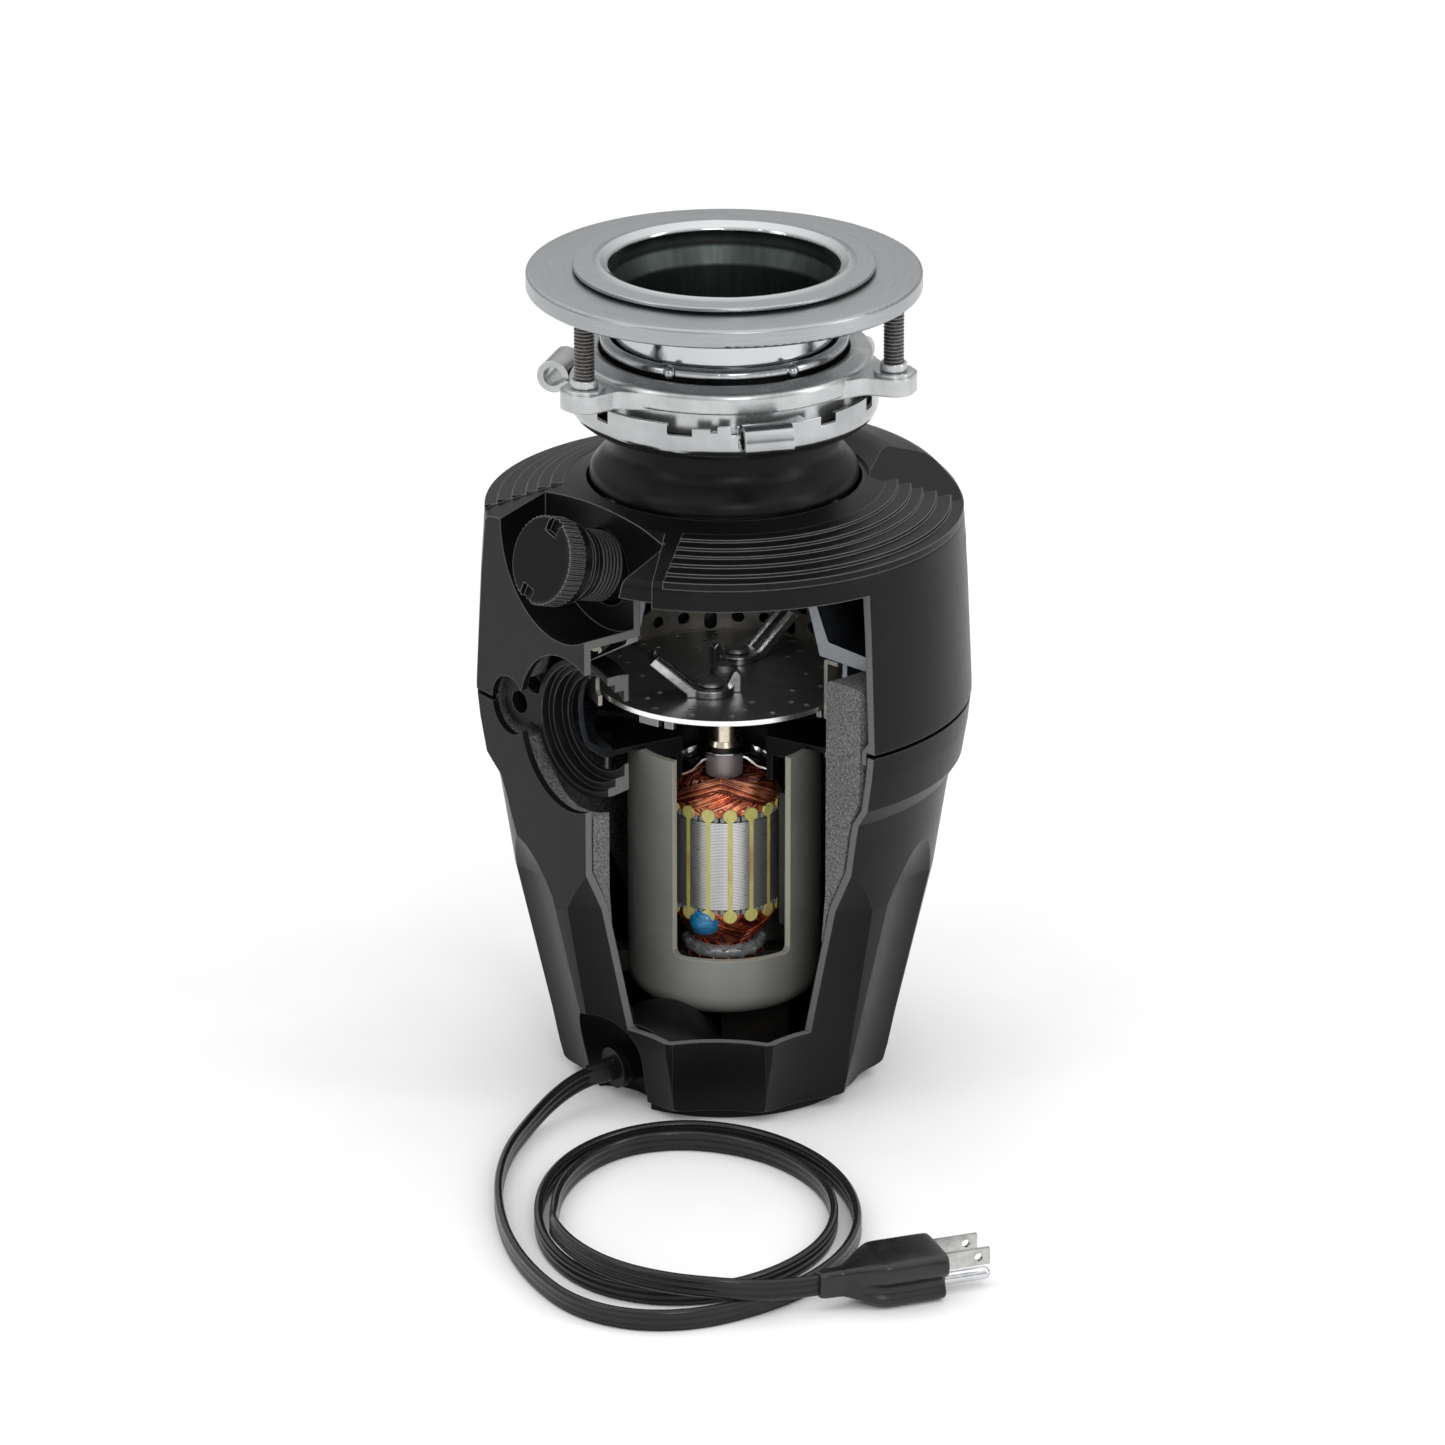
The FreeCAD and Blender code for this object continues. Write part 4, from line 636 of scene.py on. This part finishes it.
def dress_frame():
    """Give every CAD node its own finished material."""
    shell = black_shell("shell_look", WINDOW_PLANES)
    small_black = black_shell("small_black_look")
    copper = copper_wire("copper_base_look", (0.20, 0.045, 0.02), (0.34, 0.09, 0.04))
    chrome = turned_metal("chrome_look", (0.62, 0.63, 0.65), (0.75, 0.76, 0.78), 0.06, 0.14)
    by_slot = {
        "brushed_steel": brushed_steel(),
        "polished_steel": polished_steel(),
        "cast_metal": cast_metal(),
        "dark_steel": dark_steel(),
        "black_shell": small_black,
        "chamber": chamber_plastic("chamber_look", HOPPER_PLANES),
        "rubber": rubber(),
        "foam": foam(),
        "shredder_steel": shredder_steel(),
        "table_steel": table_steel(),
        "impeller_steel": impeller_steel(),
        "hub_brass": turned_metal("hub_look", (0.62, 0.55, 0.42), (0.78, 0.72, 0.60), 0.16, 0.30),
        "shaft_steel": chrome,
        "sintered": sintered(),
        "can_paint": can_paint(),
        "ferrite": ferrite(),
        "laminations": laminations(),
        "slot_paper": slot_paper(),
        "copper_wire": copper,
        "varnish": varnish(),
        "glaze": commutator_metal(),
        "carbon": mottled("carbon_look", (0.02, 0.02, 0.02), (0.05, 0.05, 0.05), 0.5, 0.2),
        "spring_steel": mottled("spring_look", (0.45, 0.45, 0.45), (0.60, 0.60, 0.60), 0.3, 1.0),
        "holder_plastic": mottled("holder_look", (0.012, 0.011, 0.010), (0.026, 0.023, 0.020), 0.35),
        "red_plastic": mottled("red_plastic_look", (0.42, 0.02, 0.015), (0.52, 0.03, 0.02), 0.35),
        "cord_jacket": cord_jacket(),
        "blade_metal": turned_metal("blade_look", (0.42, 0.42, 0.41), (0.56, 0.56, 0.54), 0.20, 0.34),
    }
    by_node = {
        "sink_flange": flange_steel(),
        "lock_ring": stamped_steel(),
        "upper_housing": shell,
        "lower_housing": shell,
        "discharge_port": black_shell("port_look", WINDOW_PLANES, 0.03),
        "drain_bowl": chamber_plastic("bowl_look", BOWL_PLANES),
        "plug_ground_pin": chrome,
    }
    for name, node in NODES.items():
        for slot in node.material_slots:
            slot.material = by_node.get(name) or by_slot[slot.material.name.split(".")[0]]
    return by_slot


# ---------------------------------------------------------------- camera, lights and floor
def add_camera():
    data = bpy.data.cameras.new("camera")
    data.lens = CAMERA_LENS
    data.sensor_width = 36.0
    data.shift_x = CAMERA_SHIFT
    data.clip_start = 0.1
    data.clip_end = 50.0
    camera = bpy.data.objects.new("camera", data)
    camera.location = CAMERA_PLACE_M
    heading = Vector(CAMERA_AIM_M) - Vector(CAMERA_PLACE_M)
    camera.rotation_euler = heading.to_track_quat("-Z", "Y").to_euler()
    bpy.context.scene.collection.objects.link(camera)
    bpy.context.scene.camera = camera


def add_softbox(name, place, aim, width, height, radiance):
    """Rectangular area light, given by how bright its face is."""
    data = bpy.data.lights.new(name, "AREA")
    data.shape = "RECTANGLE"
    data.size = width
    data.size_y = height
    data.energy = radiance * math.pi * width * height
    light = bpy.data.objects.new(name, data)
    light.location = place
    light.rotation_euler = (Vector(aim) - Vector(place)).to_track_quat("-Z", "Y").to_euler()
    bpy.context.scene.collection.objects.link(light)


def add_studio():
    """Pale floor, a surround that is brighter overhead, and three softboxes."""
    look = Look("floor_look")
    paper = look.noise(0.01, 3.0)
    colour = look.mix(look.spread(paper, 0.3, 0.7), (0.86, 0.86, 0.86), (0.90, 0.90, 0.90))
    material = look.finish(colour, 0.9)
    side = FLOOR_HALF_M
    corners = [(-side, -side, 0), (side, -side, 0), (side, side, 0), (-side, side, 0)]
    mesh = bpy.data.meshes.new("floor")
    mesh.from_pydata(corners, [], [(0, 1, 2, 3)])
    mesh.materials.append(material)
    floor = bpy.data.objects.new("floor", mesh)
    bpy.context.scene.collection.objects.link(floor)
    world = bpy.data.worlds.new("studio")
    world.use_nodes = True
    tree = world.node_tree
    direction = tree.nodes.new("ShaderNodeTexCoord")
    parts = tree.nodes.new("ShaderNodeSeparateXYZ")
    climb = tree.nodes.new("ShaderNodeMapRange")
    climb.inputs[3].default_value = 0.30
    climb.inputs[4].default_value = 1.55
    tree.links.new(direction.outputs["Generated"], parts.inputs[0])
    tree.links.new(parts.outputs[2], climb.inputs[0])
    tree.links.new(climb.outputs[0], tree.nodes["Background"].inputs["Strength"])
    tree.nodes["Background"].inputs["Color"].default_value = (1.0, 1.0, 1.0, 1.0)
    bpy.context.scene.world = world
    bpy.context.scene.view_settings.view_transform = "Standard"
    middle = (0.0, 0.0, 0.16)
    add_softbox("right_box", (1.5, -0.5, 0.75), middle, 0.35, 1.3, 4.0)
    add_softbox("left_box", (-1.5, -0.9, 0.9), middle, 0.35, 1.2, 2.2)
    add_softbox("front_box", (0.35, -1.7, 0.95), (0.0, 0.0, 0.12), 0.5, 0.5, 7.0)


# ---------------------------------------------------------------- cord and plug
def flat_cord_profile():
    """Outline of the flat cord's three lobes, as a closed curve."""
    pitch = (CORD_WIDTH - 2 * CORD_LOBE_R) / 2
    valley = math.sqrt(CORD_LOBE_R ** 2 - (pitch / 2) ** 2)
    meet = math.degrees(math.asin(valley / CORD_LOBE_R))
    outline = []
    for centre, start, end in ((pitch, -180 + meet, 180 - meet), (0.0, meet, 180 - meet),
                               (-pitch, meet, 360 - meet), (0.0, 180 + meet, 360 - meet)):
        steps = max(3, round((end - start) / 24))
        for index in range(steps):
            angle = math.radians(start + (end - start) * (index + 0.5) / steps)
            outline.append((centre + CORD_LOBE_R * math.cos(angle), CORD_LOBE_R * math.sin(angle)))
    return outline


def add_profile(name, outline):
    data = bpy.data.curves.new(name, "CURVE")
    data.dimensions = "2D"
    data.fill_mode = "NONE"
    spline = data.splines.new("POLY")
    spline.points.add(len(outline) - 1)
    for point, (x, y) in zip(spline.points, outline):
        point.co = (x * MM, y * MM, 0.0, 1.0)
    spline.use_cyclic_u = True
    profile = bpy.data.objects.new(name, data)
    profile.hide_render = True
    bpy.context.scene.collection.objects.link(profile)
    return profile


def add_route(name, route, profile, look, radii=None):
    """Smooth curve through a route's control points, swept with a profile."""
    data = bpy.data.curves.new(name, "CURVE")
    data.dimensions = "3D"
    data.twist_mode = "Z_UP"
    data.resolution_u = 8
    data.bevel_mode = "OBJECT"
    data.bevel_object = profile
    data.use_fill_caps = True
    spline = data.splines.new("NURBS")
    spline.points.add(len(route) - 1)
    for index, (point, place) in enumerate(zip(spline.points, route)):
        point.co = (place[0] * MM, place[1] * MM, place[2] * MM, 1.0)
        point.radius = radii[index] if radii else 1.0
        point.tilt = math.radians(90.0)
    spline.order_u = 3
    spline.use_endpoint_u = True
    spline.use_smooth = True
    data.materials.append(look)
    piece = bpy.data.objects.new(name, data)
    bpy.context.scene.collection.objects.link(piece)
    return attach(piece, "housing")


# Half outlines of the plug's tail and grip, from the top to the bottom, and the places of its sections.
TAIL_HALF = [(0.0, 5.3), (1.7, 5.3), (2.9, 4.7), (3.3, 3.4), (3.3, 1.2), (3.3, -0.8),
             (3.3, -2.4), (3.3, -3.8), (2.9, -4.7), (1.7, -5.3), (0.0, -5.3)]
GRIP_HALF = [(0.0, 9.5), (10.4, 9.5), (12.3, 8.4), (12.8, 5.2), (12.2, 1.6), (8.6, -0.6),
             (7.8, -3.4), (9.2, -5.6), (9.8, -7.6), (7.8, -10.1), (0.0, -10.1)]


PLUG_SECTIONS = (0.0, 0.4, 4.0, 8.4, 9.6, 12.5, 16.0, 19.5,
                 22.5, 24.5, 30.0, 36.0, 40.0, 45.6, 46.7, PLUG_FACE)


def add_plug(look):
    """Moulded plug: a short square tail that flares into a grip with scooped sides."""
    sections = []
    for reach in PLUG_SECTIONS:
        flare = smoothstep(8.5, 24.0, reach)
        flare = 0.5 * flare + 0.5 * min(1.0, max(0.0, (reach - 8.5) / 14.5))
        shrink = 0.0
        if reach < 0.3 or reach > 46.9:
            shrink = 0.9
        elif reach < 0.5 or reach > 46.5:
            shrink = 0.2
        half = []
        for (tail_y, tail_z), (grip_y, grip_z) in zip(TAIL_HALF, GRIP_HALF):
            across = tail_y + (grip_y - tail_y) * flare
            height = tail_z + (grip_z - tail_z) * flare
            height -= math.copysign(shrink, height)
            half.append((max(0.0, across - shrink) if across else 0.0, height))
        ring = [Vector((reach, across, height)) for across, height in half]
        ring += [Vector((reach, -across, height)) for across, height in half[-2:0:-1]]
        sections.append(ring)
    turn = Matrix.Rotation(math.radians(PLUG_HEADING), 3, "Z")
    points, faces = loft([[turn @ point + Vector(PLUG_START) for point in ring] for ring in sections])
    plug = add_mesh("plug_moulding", points, faces, look, "housing")
    smooth = plug.modifiers.new("smooth", "SUBSURF")
    smooth.levels = 2
    smooth.render_levels = 2
    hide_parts("plug_body")
    return plug


def add_cord(by_slot):
    """The flat cord on its edge, its strain relief, and the plug on its end."""
    profile = add_profile("cord_profile", flat_cord_profile())
    cord = add_route("flat_cord", CORD_ROUTE, profile, by_slot["cord_jacket"])
    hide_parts("cord")
    sleeve = add_profile("relief_profile", [
        (4.4 * math.copysign(abs(math.cos(angle)) ** 0.5, math.cos(angle)),
         2.0 * math.copysign(abs(math.sin(angle)) ** 0.7, math.sin(angle)))
        for angle in [2 * math.pi * (index + 0.5) / 28 for index in range(28)]])
    start = Vector(CORD_ROUTE[0])
    heading = (Vector(CORD_ROUTE[1]) - start).normalized()
    route = [start - heading * 9.0, start - heading * 1.0, start + heading * 6.0, start + heading * 12.0]
    relief = add_route("cord_strain_relief", route, sleeve, moulded_plug(), (1.18, 1.14, 1.04, 0.96))
    plug = add_plug(moulded_plug())


# ---------------------------------------------------------------- motor windings
# Surfaces that the end windings lie on, as (radius, height) from the middle out to the slots.
UPPER_DOME = [(7.0, 120.8), (11.0, 120.6), (14.5, 119.6), (17.2, 118.2),
              (19.2, 116.0), (20.5, 113.2), (20.0, 109.6)]
LOWER_CONE = [(8.4, 55.0), (12.2, 57.2), (15.2, 60.8), (17.6, 64.2),
              (19.6, 67.6), (20.2, 70.2), (19.9, 72.4)]


def along(profile, share):
    """Point of a profile at a share of its length, with the outward normal there."""
    steps = [math.dist(start, end) for start, end in zip(profile, profile[1:])]
    left = share * sum(steps)
    for (start, end), step in zip(zip(profile, profile[1:]), steps):
        if left <= step or end is profile[-1]:
            part = min(1.0, left / step)
            point = [a + (b - a) * part for a, b in zip(start, end)]
            return point, ((start[1] - end[1]) / step, (end[0] - start[0]) / step)
        left -= step


def share_at(profile, radius):
    """Share of a profile's length at which it first reaches a radius."""
    for index in range(100):
        if along(profile, index / 100)[0][0] >= radius:
            return index / 100
    return 0.0


def strand(start, span, nearest, lift, profile, up):
    """One wire of an end winding: out of a slot, over the winding past the shaft, and into another slot."""
    first = share_at(profile, nearest)
    count = 17
    points = []
    for index in range(count):
        across = 2.0 * index / (count - 1) - 1.0
        share = first + (1.0 - first) * abs(across) ** 1.5
        (radius, z), (normal_out, normal_up) = along(profile, share)
        raised = lift * min(1.0, (1.0 - abs(across)) * 4.0)
        azimuth = start + span * (0.5 + 0.5 * math.copysign(abs(across) ** 1.25, across))
        points.append(polar(radius + up * normal_out * raised, azimuth, z + up * abs(normal_up) * raised))
    return points


def add_wires(name, strands, radius, look, body):
    """Bundle of wires as one curve object, from lists of points in millimetres."""
    data = bpy.data.curves.new(name, "CURVE")
    data.dimensions = "3D"
    data.bevel_depth = radius * MM
    data.bevel_resolution = 1
    data.resolution_u = 2
    data.use_fill_caps = True
    for points in strands:
        spline = data.splines.new("NURBS")
        spline.points.add(len(points) - 1)
        for point, place in zip(spline.points, points):
            point.co = (place[0] * MM, place[1] * MM, place[2] * MM, 1.0)
        spline.order_u = 3
        spline.use_endpoint_u = True
    data.materials.append(look)
    piece = bpy.data.objects.new(name, data)
    bpy.context.scene.collection.objects.link(piece)
    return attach(piece, body)


def coil(chance, slot, skip, layer, wires, nearest, profile, up):
    """Wires of one coil's end turn, side by side from near the shaft outwards."""
    pitch = 360.0 / SLOTS
    strands = []
    for wire in range(wires):
        reach = nearest + wire * 0.95 + chance.uniform(-0.2, 0.2)
        start = SLOT_AZIMUTH + slot * pitch + (wire / wires - 0.5) * 5.0 + chance.uniform(-0.8, 0.8)
        span = skip * pitch + chance.uniform(-0.8, 0.8) - (wire / wires - 0.5) * 8.0
        strands.append(strand(start, span, reach, layer + chance.uniform(-0.08, 0.14), profile, up))
    return strands


def add_windings():
    """Upper and lower end windings, wire by wire, and the leads down to the commutator."""
    chance = random.Random(11)
    # Painted highlight and painted shade: three copies of one copper, a bright one that paints lit wires, a
    # middle one, and a deep one that paints shade between wires; each wire gets one at random.
    lit_and_shaded_copper = [copper_wire("copper_painted_highlight_look", (0.95, 0.26, 0.10), (1.0, 0.50, 0.28)),
             copper_wire("copper_mid_look", (0.54, 0.075, 0.028), (0.86, 0.24, 0.10)),
             copper_wire("copper_painted_shade_look", (0.13, 0.014, 0.008), (0.34, 0.05, 0.025))]
    upper = [[], [], []]
    lower = [[], [], []]
    for order in range(SLOTS):
        for wire in coil(chance, (1 + 5 * order) % SLOTS, 7, 0.3 + 0.085 * order, 10, 8.2, UPPER_DOME, 1):
            upper[chance.choice((0, 0, 1, 2, 2))].append(wire)
        for wire in coil(chance, (3 + 5 * order) % SLOTS, 6, 0.3 + 0.065 * order, 8, 9.4, LOWER_CONE, -1):
            lower[chance.choice((0, 1, 2, 2))].append(wire)
    # The _bright objects hold the painted-highlight wires and the _deep objects the painted-shade wires; the
    # lower winding uses only the middle and deep copies.
    for tone, name in enumerate(("bright", "mid", "deep")):
        add_wires("upper_winding_" + name, upper[tone], WIRE_R, lit_and_shaded_copper[tone], "rotor")
        add_wires("lower_winding_" + name, lower[tone], WIRE_R, lit_and_shaded_copper[max(1, tone)], "rotor")
    leads = []
    for index in range(SLOTS):
        azimuth = 360.0 / SLOTS * index
        for step in range(LEADS_PER_SLOT):
            turn = chance.uniform(14.0, 55.0) * (1 if step % 2 else -1)
            leads.append([polar(14.6, azimuth + turn, 60.2), polar(12.9, azimuth + turn * 0.6, 57.2),
                          polar(11.9, azimuth + turn * 0.25, 55.2), polar(12.6, azimuth, 52.6)])
    add_wires("commutator_leads", leads, LEAD_R, lit_and_shaded_copper[1], "rotor")


def add_end_teeth():
    """Small moulded blocks between the slot papers, at both ends of the core."""
    look = mottled("end_teeth_look", (0.20, 0.20, 0.20), (0.32, 0.32, 0.31), 0.4)
    blocks = []
    pitch = 360.0 / SLOTS
    for index in range(SLOTS):
        for offset in (-3.4, 3.4):
            azimuth = SLOT_AZIMUTH + (index + 0.5) * pitch + offset
            out = outward(azimuth)
            side = outward(azimuth + 90)
            for z in (CORE_TOP + 1.15, CORE_BOTTOM - 1.15):
                centre = out * 20.6 + Vector((0, 0, z))
                blocks.append(round_block(centre, side, out, Vector((0, 0, 1)), (1.7, 2.4, 2.2), 0.25))
    points, faces = merged(blocks)
    piece = add_mesh("core_end_teeth", points, faces, look, "rotor", smooth=False)


def add_glaze():
    """Uneven bead of compound over the commutator's risers, with drips and round blobs."""
    chance = random.Random(5)
    waves = []
    for _ in range(7):
        waves.append((chance.choice((3, 5, 7, 11, 16)), chance.uniform(0, 6.3), chance.uniform(0.06, 0.2)))
    sections = []
    around = 96
    for index in range(around):
        angle = 2 * math.pi * index / around
        swell = sum(size * math.sin(count * angle + phase) for count, phase, size in waves)
        drip = 0.7 * max(0.0, math.sin(16 * angle + 0.6)) ** 3 * (0.5 + 0.5 * math.sin(3 * angle))
        azimuth = math.degrees(angle)
        ring = []
        for step in range(12):
            turn = 2 * math.pi * step / 12
            size = GLAZE_SIZE + swell * 0.35
            out = GLAZE_R + size * math.cos(turn) + drip * 0.5
            z = GLAZE_Z + 0.3 + size * 0.92 * math.sin(turn)
            if math.sin(turn) < -0.2:
                z -= drip * 1.5
            ring.append(polar(out, azimuth, z))
        sections.append(ring)
    points, faces = loft(sections, closed=True)
    piece = add_mesh("commutator_glaze", points, faces, glaze(), "rotor")


def add_risers():
    """Bent copper tails that stand out round the commutator, under the glaze."""
    look = copper_wire("riser_look", (0.30, 0.05, 0.03), (0.55, 0.17, 0.09))
    risers = []
    for index in range(SLOTS):
        azimuth = index * 360.0 / SLOTS + 7.0
        risers.append([polar(12.5, azimuth, 48.6), polar(14.6, azimuth, 48.5), polar(15.6, azimuth, 49.2),
                       polar(15.7, azimuth, 50.2), polar(14.8, azimuth, 51.2)])
    add_wires("commutator_risers", risers, RISER_R, look, "rotor")


# ---------------------------------------------------------------- other details
def add_spout_ribs():
    """Fine ribs round the dishwasher spout behind its cap."""
    look = black_shell("rib_look")
    axis = outward(INLET_AZIMUTH) * math.cos(math.radians(INLET_TILT))
    axis += Vector((0, 0, math.sin(math.radians(INLET_TILT))))
    face = polar(INLET_FACE_R, INLET_AZIMUTH, INLET_FACE_Z)
    side = axis.orthogonal().normalized()
    up = axis.cross(side)
    ribs = []
    for index in range(SPOUT_RIBS):
        centre = face - axis * (20.4 + index * 1.7)
        sections = []
        for step in range(64):
            angle = 2 * math.pi * step / 64
            out = side * math.cos(angle) + up * math.sin(angle)
            sections.append([centre + out * radius + axis * along for radius, along in
                             ((SPOUT_R - 0.2, -0.55), (SPOUT_R + 0.55, -0.3), (SPOUT_R + 0.7, 0.0),
                              (SPOUT_R + 0.55, 0.3), (SPOUT_R - 0.2, 0.55))])
        ribs.append(loft(sections, closed=True))
    points, faces = merged(ribs)
    add_mesh("spout_ribs", points, faces, look, "housing")


# ---------------------------------------------------------------- build
add_camera()
slot_looks = dress_frame()
add_cord(slot_looks)
add_studio()
add_windings()
add_end_teeth()
add_glaze()
add_risers()
add_spout_ribs()
